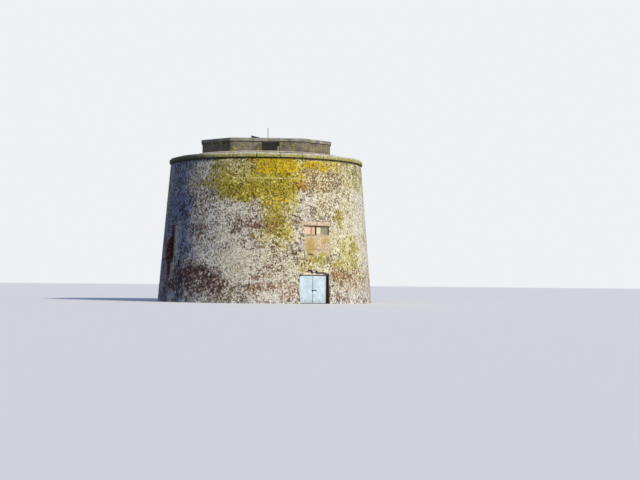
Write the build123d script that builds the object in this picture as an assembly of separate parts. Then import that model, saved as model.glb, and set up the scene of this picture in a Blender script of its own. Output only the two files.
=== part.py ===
from build123d import *
import os
from math import asin, cos, degrees, radians, sin

# Martello tower: a round brick gun tower with a battered wall, one room on each of two storeys
# round a central pillar, a bomb-proof vault, a gun platform and a later concrete roof house.
# Millimetres. Z is up from the ground, the entrance faces -Y and the tower's axis is the Z axis.
# An azimuth is counted from the entrance side (-Y) towards +X, in degrees.

# Outer wall
base_radius = 6870.0
wall_top_radius = 6125.0
wall_top_z = 8820.0

# Rooms: one circle, set towards the entrance, so the wall facing the sea is the thickest
room_offset = 600.0
ground_room_radius = 3850.0
joist_ledge = 110.0
ground_floor_thickness = 100.0
first_floor_z = 2930.0

# Timber floor
joist_count = 16
joist_width = 100.0
joist_depth = 225.0
board_thickness = 45.0

# Central pillar and ring vault
pillar_radius = 720.0
pillar_ledge = 130.0
springing_z = 5150.0
vault_ledge = 100.0
vault_crown_thickness = 230.0
platform_z = 8150.0
paving_thickness = 80.0

# Parapet and coping
platform_radius = 3750.0
parapet_flat_radius = 4760.0
parapet_z = 9350.0
coping_count = 27
coping_first_joint = -21.2
coping_overhang = 100.0
coping_depth = 620.0
coping_face_height = 215.0
coping_slope_rise = 85.0
coping_slope_run = 110.0
coping_back_rise = 40.0
coping_unevenness = 14.0
coping_joint = 10.0
coping_open_joint = 32.0

# Wall sections: the bay with both doorways, and the plain sections round the rest
bay_half_angle = 22.5
plain_sections = ["right_front", "right_rear", "rear_right", "rear_left", "left_rear", "left_front"]

# Ground doorway with two steel leaves
doorway_centre_x = -257.0
doorway_width = 2040.0
doorway_head_z = 1740.0
doorway_nib = 30.0
door_recess = 255.0
door_lintel_recess = 225.0
door_lintel_height = 190.0
door_lintel_bearing = 120.0
door_lintel_depth = 480.0
frame_width = 50.0
frame_side_slot = 65.0
frame_lug_height = 80.0
frame_depth = 60.0
leaf_thickness = 45.0
leaf_sheet = 5.0
leaf_rail = 55.0
leaf_ground_gap = 35.0
leaf_gap = 8.0
hinge_heights = (330.0, 1400.0)
hinge_radius = 11.0
hinge_length = 90.0
hinge_pin_radius = 6.0
hinge_strap = 70.0
hinge_strap_thickness = 6.0
pin_clearance = 0.3
bolt_z = 815.0
bolt_length = 285.0
bolt_radius = 9.0
bolt_plate_height = 60.0
bolt_plate_thickness = 4.0
padlock_width = 55.0
padlock_height = 60.0
padlock_thickness = 24.0

# First-floor entrance, walled up below and boarded above
entrance_width = 1758.0
entrance_head_z = 4720.0
entrance_lintel_height = 280.0
entrance_lintel_bearing = 170.0
entrance_lintel_depth = 340.0
light_height = 550.0
infill_depth = 350.0
infill_recess = 12.0
light_recess = 130.0
light_frame_width = 60.0
light_frame_depth = 90.0
light_board_thickness = 22.0
light_mullion_width = 105.0
vent_post_width = 46.0
left_light_width = 767.0
middle_light_width = 333.0

# Breach in the wall beside the seaward side: across (towards the entrance) and up
breach_azimuth = -93.6
breach_depth = 620.0
breach_taper = 6.0
breach_outline = [
    (250.0, 4980.0),
    (560.0, 4930.0),
    (650.0, 4300.0),
    (720.0, 2620.0),
    (470.0, 2480.0),
    (400.0, 1850.0),
    (130.0, 1180.0),
    (-130.0, 1600.0),
    (-330.0, 2330.0),
    (-600.0, 2620.0),
    (-720.0, 3150.0),
    (-650.0, 3640.0),
    (-330.0, 3940.0),
    (0.0, 4120.0),
    (110.0, 4640.0),
]
putlog_azimuth = -82.0
putlog_z = 2200.0
putlog_width = 170.0
putlog_height = 330.0
putlog_depth = 210.0

# Broken brickwork before the ground doorway's lintel: across from the doorway's left edge, and
# up from its head. Only the outer skin is gone, back to the lintel's face.
break_outline = [
    (230.0, 0.0),
    (2040.0, 0.0),
    (2040.0, 90.0),
    (1830.0, 140.0),
    (1600.0, 195.0),
    (1300.0, 180.0),
    (1120.0, 260.0),
    (1040.0, 200.0),
    (890.0, 200.0),
    (830.0, 320.0),
    (600.0, 345.0),
    (520.0, 250.0),
    (340.0, 190.0),
    (250.0, 30.0),
]

# Roof house on the parapet: a square with cut corners, turned away from the entrance
house_azimuth = -28.8
house_half_width = 4030.0
house_corner_cut = 1820.0
house_wall_thickness = 250.0
house_wall_height = 660.0
embrasure_width = 1100.0
embrasure_sill = 70.0
embrasure_shift = 265.0
slab_overhang = 70.0
slab_thickness = 190.0
slab_edge_wear = 18.0
sheet_thickness = 12.0
sheet_flat = 260.0
sheet_lift_run = 620.0
sheet_lift = 150.0
sheet_length = 1150.0
sheet_across = -330.0
sheet_back = 180.0
pole_radius = 17.0
pole_height = 800.0
pole_across = 95.0
pole_from_edge = 1560.0
pole_socket_radius = 60.0
pole_socket_height = 45.0
stub_width = 120.0
stub_height = 330.0
stub_lean = 45.0
stub_across = 705.0
stub_from_wall = 150.0

# What is left between pieces that seat in one another
seat = 0.3

STAND = (Align.CENTER, Align.CENTER, Align.MIN)
far = 3 * base_radius

first_room_radius = ground_room_radius + joist_ledge
ledge_z = first_floor_z - board_thickness - joist_depth
vault_top_z = platform_z - paving_thickness
vault_seat_radius = first_room_radius + vault_ledge
vault_rise = (first_room_radius - pillar_radius) / 2
vault_back_z = springing_z + vault_rise + vault_crown_thickness
infill_top_z = entrance_head_z - light_height
coping_outer_radius = wall_top_radius + coping_overhang
coping_inner_radius = coping_outer_radius - coping_depth
coping_front_z = wall_top_z + coping_face_height
coping_back_z = coping_front_z + coping_slope_rise + coping_back_rise
house_wall_top_z = parapet_z + house_wall_height
slab_top_z = house_wall_top_z + slab_thickness


def wall_radius(z):
    """The outer wall's radius at a height."""
    return base_radius - (base_radius - wall_top_radius) * z / wall_top_z


def at_azimuth(radius, azimuth):
    """The point of the ground plan at a radius and azimuth."""
    return (radius * sin(radians(azimuth)), -radius * cos(radians(azimuth)))


def facing(azimuth, radius):
    """An upright plane that faces outwards, its X along the wall and its Y up from the ground."""
    x, y = at_azimuth(radius, azimuth)
    return Plane(
        origin=(x, y, 0),
        x_dir=(cos(radians(azimuth)), sin(radians(azimuth)), 0),
        z_dir=(sin(radians(azimuth)), -cos(radians(azimuth)), 0),
    )


def block(x, y, z):
    """A box between two limits on each axis."""
    size = Box(x[1] - x[0], y[1] - y[0], z[1] - z[0], align=(Align.MIN, Align.MIN, Align.MIN))
    return Pos(x[0], y[0], z[0]) * size


def post(radius, z, x=0.0, y=0.0):
    """An upright cylinder between two heights."""
    return Pos(x, y, z[0]) * Cylinder(radius, z[1] - z[0], align=STAND)


def turned(points):
    """The solid that an outline of radii and heights sweeps round the tower's axis."""
    return revolve(Plane.XZ * make_face(Polyline(points, close=True)), axis=Axis.Z)


def wedge(start, end):
    """Everything between two upright planes through the tower's axis."""
    plan = Polyline(
        [(0, 0), at_azimuth(far, start), at_azimuth(far, (start + end) / 2), at_azimuth(far, end)],
        close=True,
    )
    return extrude(make_face(plan), amount=far)


def battered(z, inset=0.0):
    """The tower's round outline as a full cone between two heights, drawn in by an inset."""
    cone = Cone(wall_radius(z[0]) - inset, wall_radius(z[1]) - inset, z[1] - z[0], align=STAND)
    return Pos(0, 0, z[0]) * cone


def room(radius, z):
    """A round room's space between two heights."""
    return post(radius, z, y=-room_offset)


def save(shape, node):
    """Writes a node's solids."""
    export_step(shape, f"parts/{node}.step")


os.makedirs("parts", exist_ok=True)

# Places along the wall of the ground doorway
doorway_left_x = doorway_centre_x - doorway_width / 2
doorway_right_x = doorway_centre_x + doorway_width / 2
passage_left_x = doorway_left_x + doorway_nib
doorway_face_y = -wall_radius(doorway_head_z / 2) * cos(asin(doorway_right_x / base_radius))
leaf_front_y = doorway_face_y + door_recess
leaf_back_y = leaf_front_y + leaf_thickness
door_lintel_front_y = doorway_face_y + door_lintel_recess
door_lintel_z = (doorway_head_z, doorway_head_z + door_lintel_height)
frame_back_y = leaf_front_y + frame_depth
passage_end_y = -ground_room_radius

# Section joints: the bay, then equal plain sections clockwise seen from above
plain_angle = (360 - 2 * bay_half_angle) / len(plain_sections)
sections = {}
for number, name in enumerate(plain_sections):
    start = bay_half_angle + number * plain_angle
    sections[name] = (start, start + plain_angle)


def breach():
    """The ragged hole, narrowing into the wall."""
    middle_z = (infill_top_z + first_floor_z) / 2
    outline = facing(breach_azimuth, base_radius) * make_face(Polyline(breach_outline, close=True))
    reach = base_radius - wall_radius(middle_z) + breach_depth
    return extrude(outline, amount=-reach, taper=breach_taper)


def putlog():
    """A scaffold hole beside the breach."""
    depth = 2 * (putlog_depth + base_radius - wall_radius(putlog_z))
    hole = Box(putlog_width, putlog_height, depth, align=(Align.CENTER, Align.MIN, Align.CENTER))
    return facing(putlog_azimuth, base_radius) * Pos(0, putlog_z, 0) * hole


def lower_wall():
    """The ground storey's wall, up to the first floor, with the doorway cut through it."""
    wall = battered((0, first_floor_z))
    wall -= room(ground_room_radius, (0, ledge_z))
    wall -= room(first_room_radius, (ledge_z, first_floor_z))
    height = (0, doorway_head_z)
    doorway = block((doorway_left_x, doorway_right_x), (-far, frame_back_y), height)
    doorway += block((passage_left_x, doorway_right_x), (frame_back_y, passage_end_y), height)
    return wall - doorway


def door_lintel():
    """The ground doorway's lintel, which bears on both jambs behind the wall's outer skin."""
    x = (doorway_left_x - door_lintel_bearing, doorway_right_x + door_lintel_bearing)
    return block(x, (door_lintel_front_y, door_lintel_front_y + door_lintel_depth), door_lintel_z)


def wall_break():
    """The ragged hole in the wall's outer skin before and over the lintel."""
    points = [(doorway_left_x + across, doorway_head_z + up) for across, up in break_outline]
    outline = facing(0, base_radius) * make_face(Polyline(points, close=True))
    return extrude(outline, amount=-(base_radius + door_lintel_front_y))


def upper_wall():
    """The wall from the first floor to the top of the parapet, with the entrance cut through."""
    wall = turned(
        [
            (0, first_floor_z),
            (wall_radius(first_floor_z), first_floor_z),
            (wall_top_radius, wall_top_z),
            (coping_inner_radius - coping_joint, wall_top_z),
            (coping_inner_radius - coping_joint, coping_back_z),
            (parapet_flat_radius, parapet_z),
            (0, parapet_z),
        ]
    )
    wall -= room(first_room_radius, (first_floor_z, springing_z))
    wall -= room(vault_seat_radius, (springing_z, vault_top_z))
    wall -= post(platform_radius, (vault_top_z, parapet_z))
    half = entrance_width / 2
    wall -= block((-half, half), (-far, passage_end_y), (first_floor_z, entrance_head_z))
    return wall


def entrance_lintel_space():
    """Where the entrance's lintel sits in the wall."""
    half = entrance_width / 2 + entrance_lintel_bearing
    y = (-far, -wall_radius(entrance_head_z) + entrance_lintel_depth)
    return block((-half, half), y, (entrance_head_z, entrance_head_z + entrance_lintel_height))


lower = lower_wall()
upper = upper_wall()
hole = breach()
bay = wedge(-bay_half_angle, bay_half_angle)

for name, (start, end) in sections.items():
    lower_section = lower & wedge(start, end)
    upper_section = upper & wedge(start, end)
    if start < breach_azimuth + 360 < end:
        lower_section = lower_section - hole - putlog()
        upper_section = upper_section - hole
    save(lower_section, f"lower_wall_{name}")
    save(upper_section, f"upper_wall_{name}")

door_bay = lower & bay
over_doorway = block((-far, far), (-far, far), (doorway_head_z, first_floor_z))
save(door_bay & over_doorway - door_lintel() - wall_break(), "lower_wall_over_doorway")
door_jambs = (door_bay - over_doorway).solids().sort_by(Axis.X)
save(door_jambs[0], "lower_wall_left_jamb")
save(door_jambs[-1], "lower_wall_right_jamb")

entrance_bay = upper & bay
over_entrance = block((-far, far), (-far, far), (entrance_head_z, parapet_z))
save(entrance_bay & over_entrance - entrance_lintel_space(), "upper_wall_over_entrance")
entrance_jambs = (entrance_bay - over_entrance).solids().sort_by(Axis.X)
save(entrance_jambs[0], "upper_wall_left_jamb")
save(entrance_jambs[-1], "upper_wall_right_jamb")

# Lintels: the doorway's is a plain block, the entrance's follows the round wall at its front
save(door_lintel(), "doorway_lintel")
entrance_lintel_z = (entrance_head_z, entrance_head_z + entrance_lintel_height)
save(entrance_lintel_space() & battered(entrance_lintel_z), "entrance_lintel")


def coping_block(number):
    """One coping stone, its top a little higher or lower than its neighbours'."""
    pitch = 360 / coping_count
    gap = coping_open_joint if number == 2 else coping_joint
    trim = degrees(gap / coping_outer_radius) / 2
    start = coping_first_joint + number * pitch + trim
    end = coping_first_joint + (number + 1) * pitch - degrees(coping_joint / coping_outer_radius) / 2
    rise = coping_unevenness * ((number * 5) % 7 - 3) / 3
    outline = [
        (coping_inner_radius, wall_top_z),
        (coping_outer_radius, wall_top_z),
        (coping_outer_radius, coping_front_z + rise),
        (coping_outer_radius - coping_slope_run, coping_front_z + coping_slope_rise + rise),
        (coping_inner_radius, coping_back_z + rise),
    ]
    face = Plane.XZ * make_face(Polyline(outline, close=True))
    stone = revolve(face, axis=Axis.Z, revolution_arc=end - start)
    return Rot(0, 0, start - 90) * stone


coping_stones = [coping_block(number) for number in range(coping_count)]
front_count = coping_count // 2
save(Compound(children=coping_stones[:front_count]), "coping_front")
save(Compound(children=coping_stones[front_count:]), "coping_rear")


def ring_vault():
    """The brick ring vault, from the pillar's head to the wall's ledge."""
    outer = vault_seat_radius - seat
    crown = (pillar_radius + vault_rise, springing_z + vault_rise)
    outline = Polyline(
        (first_room_radius, springing_z),
        (outer, springing_z),
        (outer, vault_back_z),
        (0, vault_back_z),
        (0, springing_z),
        (pillar_radius, springing_z),
    )
    outline += ThreePointArc((pillar_radius, springing_z), crown, (first_room_radius, springing_z))
    return Pos(0, -room_offset, 0) * revolve(Plane.XZ * make_face(outline), axis=Axis.Z)


# The vault in four quarters, and the solid mass on its back that carries the gun platform
vault = ring_vault()
for number, name in enumerate(["front", "right", "rear", "left"]):
    quarter = Pos(0, -room_offset, 0) * wedge(90 * number - 45, 90 * number + 45)
    save(vault & quarter, f"ring_vault_{name}")
save(post(vault_seat_radius - seat, (vault_back_z, vault_top_z), y=-room_offset), "vault_mass")

pillar = post(pillar_radius + pillar_ledge, (0, ledge_z), y=-room_offset)
pillar += post(pillar_radius, (ledge_z, springing_z), y=-room_offset)
save(pillar, "central_pillar")

floor_height = (0, ground_floor_thickness)
ground_floor = room(ground_room_radius - seat, floor_height)
ground_floor += block(
    (passage_left_x + seat, doorway_right_x - seat),
    (frame_back_y + leaf_gap, -room_offset),
    floor_height,
)
ground_floor -= post(pillar_radius + pillar_ledge + seat, floor_height, y=-room_offset)
save(ground_floor, "ground_floor")

joist_length = first_room_radius - pillar_radius - 2 * joist_ledge / 10
joist = block(
    (pillar_radius + joist_ledge / 10, pillar_radius + joist_ledge / 10 + joist_length),
    (-joist_width / 2, joist_width / 2),
    (ledge_z, ledge_z + joist_depth),
)
joists = []
for number in range(joist_count):
    joists.append(Pos(0, -room_offset, 0) * Rot(0, 0, (number + 0.5) * 360 / joist_count) * joist)
save(Compound(children=joists), "first_floor_joists")

boards_z = (ledge_z + joist_depth, first_floor_z)
boards = room(first_room_radius - seat, boards_z)
boards -= post(pillar_radius + seat, boards_z, y=-room_offset)
save(boards, "first_floor_boards")

save(post(platform_radius - seat, (vault_top_z, platform_z)), "gun_platform")


def house_plan(grow):
    """The roof house's outline, a square with cut corners, grown or shrunk all round."""
    half = house_half_width + grow
    flat = house_half_width - house_corner_cut + grow * (2**0.5 - 1)
    corners = [(half, -flat), (half, flat), (flat, half), (-flat, half)]
    corners += [(-half, flat), (-half, -flat), (-flat, -half), (flat, -half)]
    return Rot(0, 0, house_azimuth) * make_face(Polyline(corners, close=True))


def house_walls():
    """The four walls with embrasures and the four blank corner walls."""
    shell = house_plan(0) - house_plan(-house_wall_thickness)
    ring = Pos(0, 0, parapet_z) * extrude(shell, amount=house_wall_height)
    corner = house_half_width - house_corner_cut
    half_angle = degrees(asin(corner / (corner**2 + house_half_width**2) ** 0.5))
    opening = block(
        (embrasure_shift - embrasure_width / 2, embrasure_shift + embrasure_width / 2),
        (-far, 0),
        (parapet_z + embrasure_sill, house_wall_top_z),
    )
    walls = {}
    corners = []
    for number, name in enumerate(["front", "right", "rear", "left"]):
        azimuth = house_azimuth + 90 * number
        side = ring & wedge(azimuth - half_angle, azimuth + half_angle)
        walls[f"house_wall_{name}"] = side - Rot(0, 0, azimuth) * opening
        corners.append(ring & wedge(azimuth + half_angle, azimuth + 90 - half_angle))
    walls["house_corner_walls"] = Compound(children=corners)
    return walls


for node, wall in house_walls().items():
    save(wall, node)

slab = Pos(0, 0, house_wall_top_z) * extrude(house_plan(slab_overhang), amount=slab_thickness)
slab = chamfer(slab.faces().sort_by(Axis.Z)[-1].edges(), slab_edge_wear)
save(slab, "roof_slab")

house_turn = Rot(0, 0, house_azimuth)
slab_front_y = -(house_half_width + slab_overhang)


def roof_sheet():
    """A sheet of roofing with one end bent up by the wind."""
    profile = Polyline(
        (sheet_lift_run + sheet_flat, 0),
        (sheet_lift_run, 0),
        (0, sheet_lift),
        (0, sheet_lift + sheet_thickness),
        (sheet_lift_run + sheet_thickness, sheet_thickness),
        (sheet_lift_run + sheet_flat, sheet_thickness),
        close=True,
    )
    strip = extrude(Plane.XZ * make_face(profile), amount=-sheet_length)
    place = Pos(sheet_across - sheet_lift_run, slab_front_y + sheet_back, slab_top_z)
    return house_turn * place * strip


save(roof_sheet(), "roof_sheet")

pole_y = slab_front_y + pole_from_edge
pole = post(pole_radius, (slab_top_z, slab_top_z + pole_height), pole_across, pole_y)
pole += post(pole_socket_radius, (slab_top_z, slab_top_z + pole_socket_height), pole_across, pole_y)
save(house_turn * pole, "roof_pole")


def embrasure_stub():
    """A short leaning post beside the front embrasure."""
    foot = Rectangle(stub_width, stub_width)
    head = Pos(stub_lean, 0, stub_height) * Rectangle(stub_width * 0.8, stub_width * 0.8)
    y = -house_half_width - stub_from_wall
    return house_turn * Pos(stub_across, y, parapet_z) * loft([foot, head])


save(embrasure_stub(), "embrasure_stub")

# Ground doors: the frame, its fixed knuckles and pins, and the two leaves
frame_left_x = passage_left_x + seat
frame_right_x = doorway_right_x - frame_side_slot
leaf_left_x = frame_left_x + frame_width + leaf_gap
leaf_right_x = frame_right_x - frame_width - leaf_gap
seam_x = (leaf_left_x + leaf_right_x) / 2
leaf_top_z = doorway_head_z - frame_width - leaf_gap
pin_y = leaf_front_y - hinge_radius - hinge_strap_thickness / 2
pin_left_x = leaf_left_x - leaf_gap / 2
pin_right_x = leaf_right_x + leaf_gap / 2


def strap(x, z):
    """A hinge strap on the front of a leaf or frame, from its knuckle."""
    return block(x, (leaf_front_y - hinge_strap_thickness, leaf_front_y), z)


def knuckle(x, z):
    """A hinge knuckle with the web that joins it to its strap."""
    web_x = (x - hinge_pin_radius, x + hinge_pin_radius)
    web = block(web_x, (pin_y, leaf_front_y - hinge_strap_thickness), z)
    return post(hinge_radius, z, x, pin_y) + web


def door_frame():
    """Two posts and a head of steel, with the lower knuckles and the hinge pins.

    The right post stands clear of the wall by a slot. The head and two lugs reach over to it."""
    y = (leaf_front_y, frame_back_y)
    jamb_x = doorway_right_x - seat
    head_z = (doorway_head_z - frame_width, doorway_head_z - seat)
    frame = block((frame_left_x, frame_right_x), y, (0, head_z[0]))
    inner_x = (frame_left_x + frame_width, frame_right_x - frame_width)
    frame -= block(inner_x, y, (0, head_z[0]))
    frame += block((frame_left_x, jamb_x), y, head_z)
    lug_y = (frame_back_y - hinge_strap_thickness, frame_back_y)
    for middle_z in hinge_heights:
        lug_z = (middle_z - frame_lug_height / 2, middle_z + frame_lug_height / 2)
        frame += block((frame_right_x - seat, jamb_x), lug_y, lug_z)
    for middle_z in hinge_heights:
        z = (middle_z - hinge_length / 2, middle_z - seat)
        top_z = middle_z + hinge_length / 2 - hinge_pin_radius
        frame += strap((frame_left_x, pin_left_x), z) + knuckle(pin_left_x, z)
        frame += strap((pin_right_x, frame_right_x), z) + knuckle(pin_right_x, z)
        frame += post(hinge_pin_radius, (middle_z - hinge_length / 2, top_z), pin_left_x, pin_y)
        frame += post(hinge_pin_radius, (middle_z - hinge_length / 2, top_z), pin_right_x, pin_y)
    return frame


def leaf(x, pin_x, toward):
    """A steel leaf: a sheet on a frame of rails, with its knuckles over the frame's pins."""
    z = (leaf_ground_gap, leaf_top_z)
    middle_z = (z[0] + z[1]) / 2
    body = block(x, (leaf_front_y, leaf_back_y), z)
    inner_x = (x[0] + leaf_rail, x[1] - leaf_rail)
    pocket_y = (leaf_front_y + leaf_sheet, leaf_back_y)
    body -= block(inner_x, pocket_y, (z[0] + leaf_rail, middle_z - leaf_rail / 2))
    body -= block(inner_x, pocket_y, (middle_z + leaf_rail / 2, z[1] - leaf_rail))
    for hinge_z in hinge_heights:
        part_z = (hinge_z + seat, hinge_z + hinge_length / 2)
        reach = sorted((pin_x, pin_x + toward * hinge_strap))
        hinge = strap(reach, part_z) + knuckle(pin_x, part_z)
        hinge -= post(hinge_pin_radius + pin_clearance, part_z, pin_x, pin_y)
        body += hinge
    return body


save(door_frame(), "door_frame")
left_leaf_x = (leaf_left_x, seam_x - leaf_gap / 2)
right_leaf_x = (seam_x + leaf_gap / 2, leaf_right_x)
save(leaf(left_leaf_x, pin_left_x, 1), "left_door")
save(leaf(right_leaf_x, pin_right_x, -1), "right_door")


def slide_bolt():
    """The bolt on the right leaf, drawn back: plate, two guides, bar and handle."""
    start = right_leaf_x[0] + leaf_gap
    plate_y = leaf_front_y - bolt_plate_thickness
    half = bolt_plate_height / 2
    fitting = block((start, start + bolt_length), (plate_y, leaf_front_y), (bolt_z - half, bolt_z + half))
    bar_y = plate_y - bolt_radius + bolt_plate_thickness / 2
    bar = Cylinder(bolt_radius, bolt_length, align=STAND)
    fitting += Pos(start, bar_y, bolt_z) * Rot(0, 90, 0) * bar
    for share in (0.12, 0.6):
        guide_x = start + share * bolt_length
        guide_y = (bar_y - bolt_radius - bolt_plate_thickness, plate_y)
        guide_z = (bolt_z - 1.6 * bolt_radius, bolt_z + 1.6 * bolt_radius)
        fitting += block((guide_x, guide_x + 2 * bolt_radius), guide_y, guide_z)
    handle_x = start + 0.85 * bolt_length
    fitting += block(
        (handle_x, handle_x + bolt_radius),
        (bar_y - bolt_radius / 2, bar_y + bolt_radius / 2),
        (bolt_z - half - 2 * bolt_radius, bolt_z),
    )
    return fitting


save(slide_bolt(), "slide_bolt")


def bolt_keep():
    """The keep on the left leaf that the bolt enters, with the open padlock left in it."""
    end = left_leaf_x[1] - leaf_gap
    plate_y = leaf_front_y - bolt_plate_thickness
    half = bolt_plate_height / 2
    keep = block((end - bolt_plate_height, end), (plate_y, leaf_front_y), (bolt_z - half, bolt_z + half))
    eye_y = (plate_y - 2.6 * bolt_radius, plate_y)
    eye_z = (bolt_z - 2 * bolt_radius, bolt_z + 2 * bolt_radius)
    eye = block((end - 3 * bolt_radius, end - bolt_radius), eye_y, eye_z)
    keep += eye - Pos(0, plate_y - bolt_radius, bolt_z) * Rot(0, 90, 0) * Cylinder(bolt_radius + 1, far)
    lock_top = bolt_z - 2 * bolt_radius
    lock_x = end - 2 * bolt_radius
    keep += block(
        (lock_x - padlock_width / 2, lock_x + padlock_width / 2 - leaf_gap),
        (plate_y - padlock_thickness, plate_y),
        (lock_top - padlock_height, lock_top),
    )
    return keep


save(bolt_keep(), "bolt_keep")

# Entrance: walled up below, a timber frame with three lights above
half_entrance = entrance_width / 2
infill_z = (first_floor_z, infill_top_z)
infill_back_y = -wall_radius(infill_top_z) + infill_depth
infill = block((-half_entrance + seat, half_entrance - seat), (-far, infill_back_y), infill_z)
save(infill & battered(infill_z, infill_recess), "entrance_infill")

light_front_y = -wall_radius(entrance_head_z) + light_recess
light_back_y = light_front_y + light_frame_depth
light_z = (infill_top_z, entrance_head_z - seat)
left_light_start = -half_entrance + light_frame_width
left_light_x = (left_light_start, left_light_start + left_light_width)
middle_light_start = left_light_x[1] + light_mullion_width
middle_light_x = (middle_light_start, middle_light_start + middle_light_width)
vent_end_x = half_entrance - vent_post_width
light_inner_z = (light_z[0] + light_frame_width, light_z[1] - light_frame_width)
light_y = (light_front_y, light_back_y)
light_frame = block((-half_entrance + seat, half_entrance - seat), light_y, light_z)
light_frame -= block(left_light_x, light_y, light_inner_z)
light_frame -= block((middle_light_start, vent_end_x), light_y, light_inner_z)
save(light_frame, "entrance_frame")

board_front_y = light_front_y + light_frame_depth / 3
board_y = (board_front_y, board_front_y + light_board_thickness)
left_board = block(left_light_x, board_y, light_inner_z)
middle_board = block(middle_light_x, board_y, light_inner_z)
save(Compound(children=[left_board, middle_board]), "entrance_boards")
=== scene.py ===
# %% [markdown]
# This lesson dresses the CAD model of a martello tower: a round brick gun tower whose battered
# wall has lost most of its lime render, with gold lichen on top, steel doors, a walled-up
# entrance and a concrete house on the roof. The CAD solids come in first.

# %% The frame and its box
import math

import bmesh
import bpy
import numpy as np
from mathutils import Matrix, Vector, noise


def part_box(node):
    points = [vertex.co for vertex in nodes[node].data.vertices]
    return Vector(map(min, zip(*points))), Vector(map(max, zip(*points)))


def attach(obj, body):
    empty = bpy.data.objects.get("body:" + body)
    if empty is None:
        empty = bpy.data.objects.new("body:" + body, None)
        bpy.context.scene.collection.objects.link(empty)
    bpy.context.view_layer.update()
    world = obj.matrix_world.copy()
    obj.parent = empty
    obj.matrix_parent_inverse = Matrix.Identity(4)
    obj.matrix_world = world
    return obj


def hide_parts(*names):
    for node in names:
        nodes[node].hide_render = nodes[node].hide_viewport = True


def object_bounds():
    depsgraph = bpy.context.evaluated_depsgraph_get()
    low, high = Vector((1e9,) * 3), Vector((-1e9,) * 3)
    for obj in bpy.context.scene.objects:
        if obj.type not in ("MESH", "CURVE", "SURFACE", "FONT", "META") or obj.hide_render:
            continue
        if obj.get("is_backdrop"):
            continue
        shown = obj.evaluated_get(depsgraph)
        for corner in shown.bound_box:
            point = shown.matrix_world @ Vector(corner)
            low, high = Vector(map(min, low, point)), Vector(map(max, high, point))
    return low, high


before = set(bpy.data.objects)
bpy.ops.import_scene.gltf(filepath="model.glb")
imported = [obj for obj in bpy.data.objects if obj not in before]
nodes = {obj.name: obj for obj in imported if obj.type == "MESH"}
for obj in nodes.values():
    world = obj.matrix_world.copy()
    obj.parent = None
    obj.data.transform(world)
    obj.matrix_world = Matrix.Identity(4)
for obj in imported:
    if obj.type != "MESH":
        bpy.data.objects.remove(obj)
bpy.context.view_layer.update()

# %% [markdown]
# The camera stands 90 m away at eye height, a little to the left of the entrance. Its place,
# aim and focal length were solved from a dozen corners of the tower, and the tower sits left
# of the middle of the picture, so the camera is turned a little to the right of it.

# %% The camera
view_azimuth, view_distance, eye_height = -28.8, 90.0, 1.2
turned_right, tilted_up, rolled = 2.2485, 91.8108, 0.5475
focal_pixels, picture_pixels, sensor_width = 1392.0, 640.0, 36.0
camera_data = bpy.data.cameras.new("camera")
camera_data.sensor_width = sensor_width
camera_data.lens = focal_pixels * sensor_width / picture_pixels
camera_data.clip_end = 2000.0
camera = bpy.data.objects.new("camera", camera_data)
bpy.context.scene.collection.objects.link(camera)
bpy.context.scene.camera = camera
turn = math.radians(view_azimuth)
camera.matrix_world = (
    Matrix.Translation((view_distance * math.sin(turn), -view_distance * math.cos(turn), eye_height))
    @ Matrix.Rotation(math.radians(view_azimuth - turned_right), 4, "Z")
    @ Matrix.Rotation(math.radians(tilted_up), 4, "X")
    @ Matrix.Rotation(math.radians(rolled), 4, "Z")
)
print("lens", round(camera_data.lens, 1), "mm")

# %% [markdown]
# A node material is easier to read when its nodes are written like sentences. These helpers
# add a node, do a sum, split a place into its three measures, mix two colours, lay one over
# another, turn a value into a soft step, and give a colour as the 0 to 255 numbers of a colour
# picker. The last one gives CAD nodes a finish.


# %% Helpers for materials
def tint(red, green, blue):
    """A colour picker's colour as the linear one that a socket takes."""
    shares = [c / 255 for c in (red, green, blue)]
    linear = [c / 12.92 if c <= 0.04045 else ((c + 0.055) / 1.055) ** 2.4 for c in shares]
    return (*linear, 1.0)


def add(tree, kind, inputs=None, **settings):
    """A shader node with its settings, and numbers or links on its inputs."""
    made = tree.nodes.new("ShaderNode" + kind)
    for name, value in settings.items():
        setattr(made, name, value)
    for name, value in (inputs or {}).items():
        if isinstance(value, bpy.types.NodeSocket):
            tree.links.new(value, made.inputs[name])
        else:
            made.inputs[name].default_value = value
    return made


def sums(tree, operation, first, second=0.0, third=0.0):
    """One sum of numbers or links."""
    made = add(tree, "Math", {0: first, 1: second, 2: third}, operation=operation)
    return made.outputs[0]


def times(tree, first, second):
    """The product of two numbers or links."""
    return sums(tree, "MULTIPLY", first, second)


def scaled(tree, value, factor, added):
    """A value times a factor, with another one added."""
    return sums(tree, "MULTIPLY_ADD", value, factor, added)


def away(tree, value, level):
    """How far a value is from a level."""
    return sums(tree, "ABSOLUTE", sums(tree, "SUBTRACT", value, level))


def split(tree, place):
    """How far a place is to the right, towards the back, and up."""
    made = add(tree, "SeparateXYZ", {0: place})
    return made.outputs[0], made.outputs[1], made.outputs[2]


def mix(tree, share, first, second, kind="MIX"):
    """Two colours mixed by a share."""
    made = add(tree, "Mix", {0: share, 6: first, 7: second}, data_type="RGBA", blend_type=kind)
    return made.outputs[2]


def over(tree, share, strength, under, top, kind="MIX"):
    """A colour laid over another where a share says so, with a strength."""
    return mix(tree, times(tree, share, strength), under, top, kind)


def step(tree, value, low, high, bottom=0.0, top=1.0):
    """A soft step of a value between two levels."""
    inputs = {"Value": value, "From Min": low, "From Max": high, "To Min": bottom, "To Max": top}
    return add(tree, "MapRange", inputs, interpolation_type="SMOOTHSTEP").outputs[0]


def surface_place(tree):
    """Where a point is on the tower."""
    return add(tree, "TexCoord").outputs["Object"]


def stretched(tree, place, across, up):
    """A place with its pattern squeezed across and up."""
    return add(tree, "Mapping", {"Vector": place, "Scale": (across, across, up)}).outputs[0]


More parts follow.
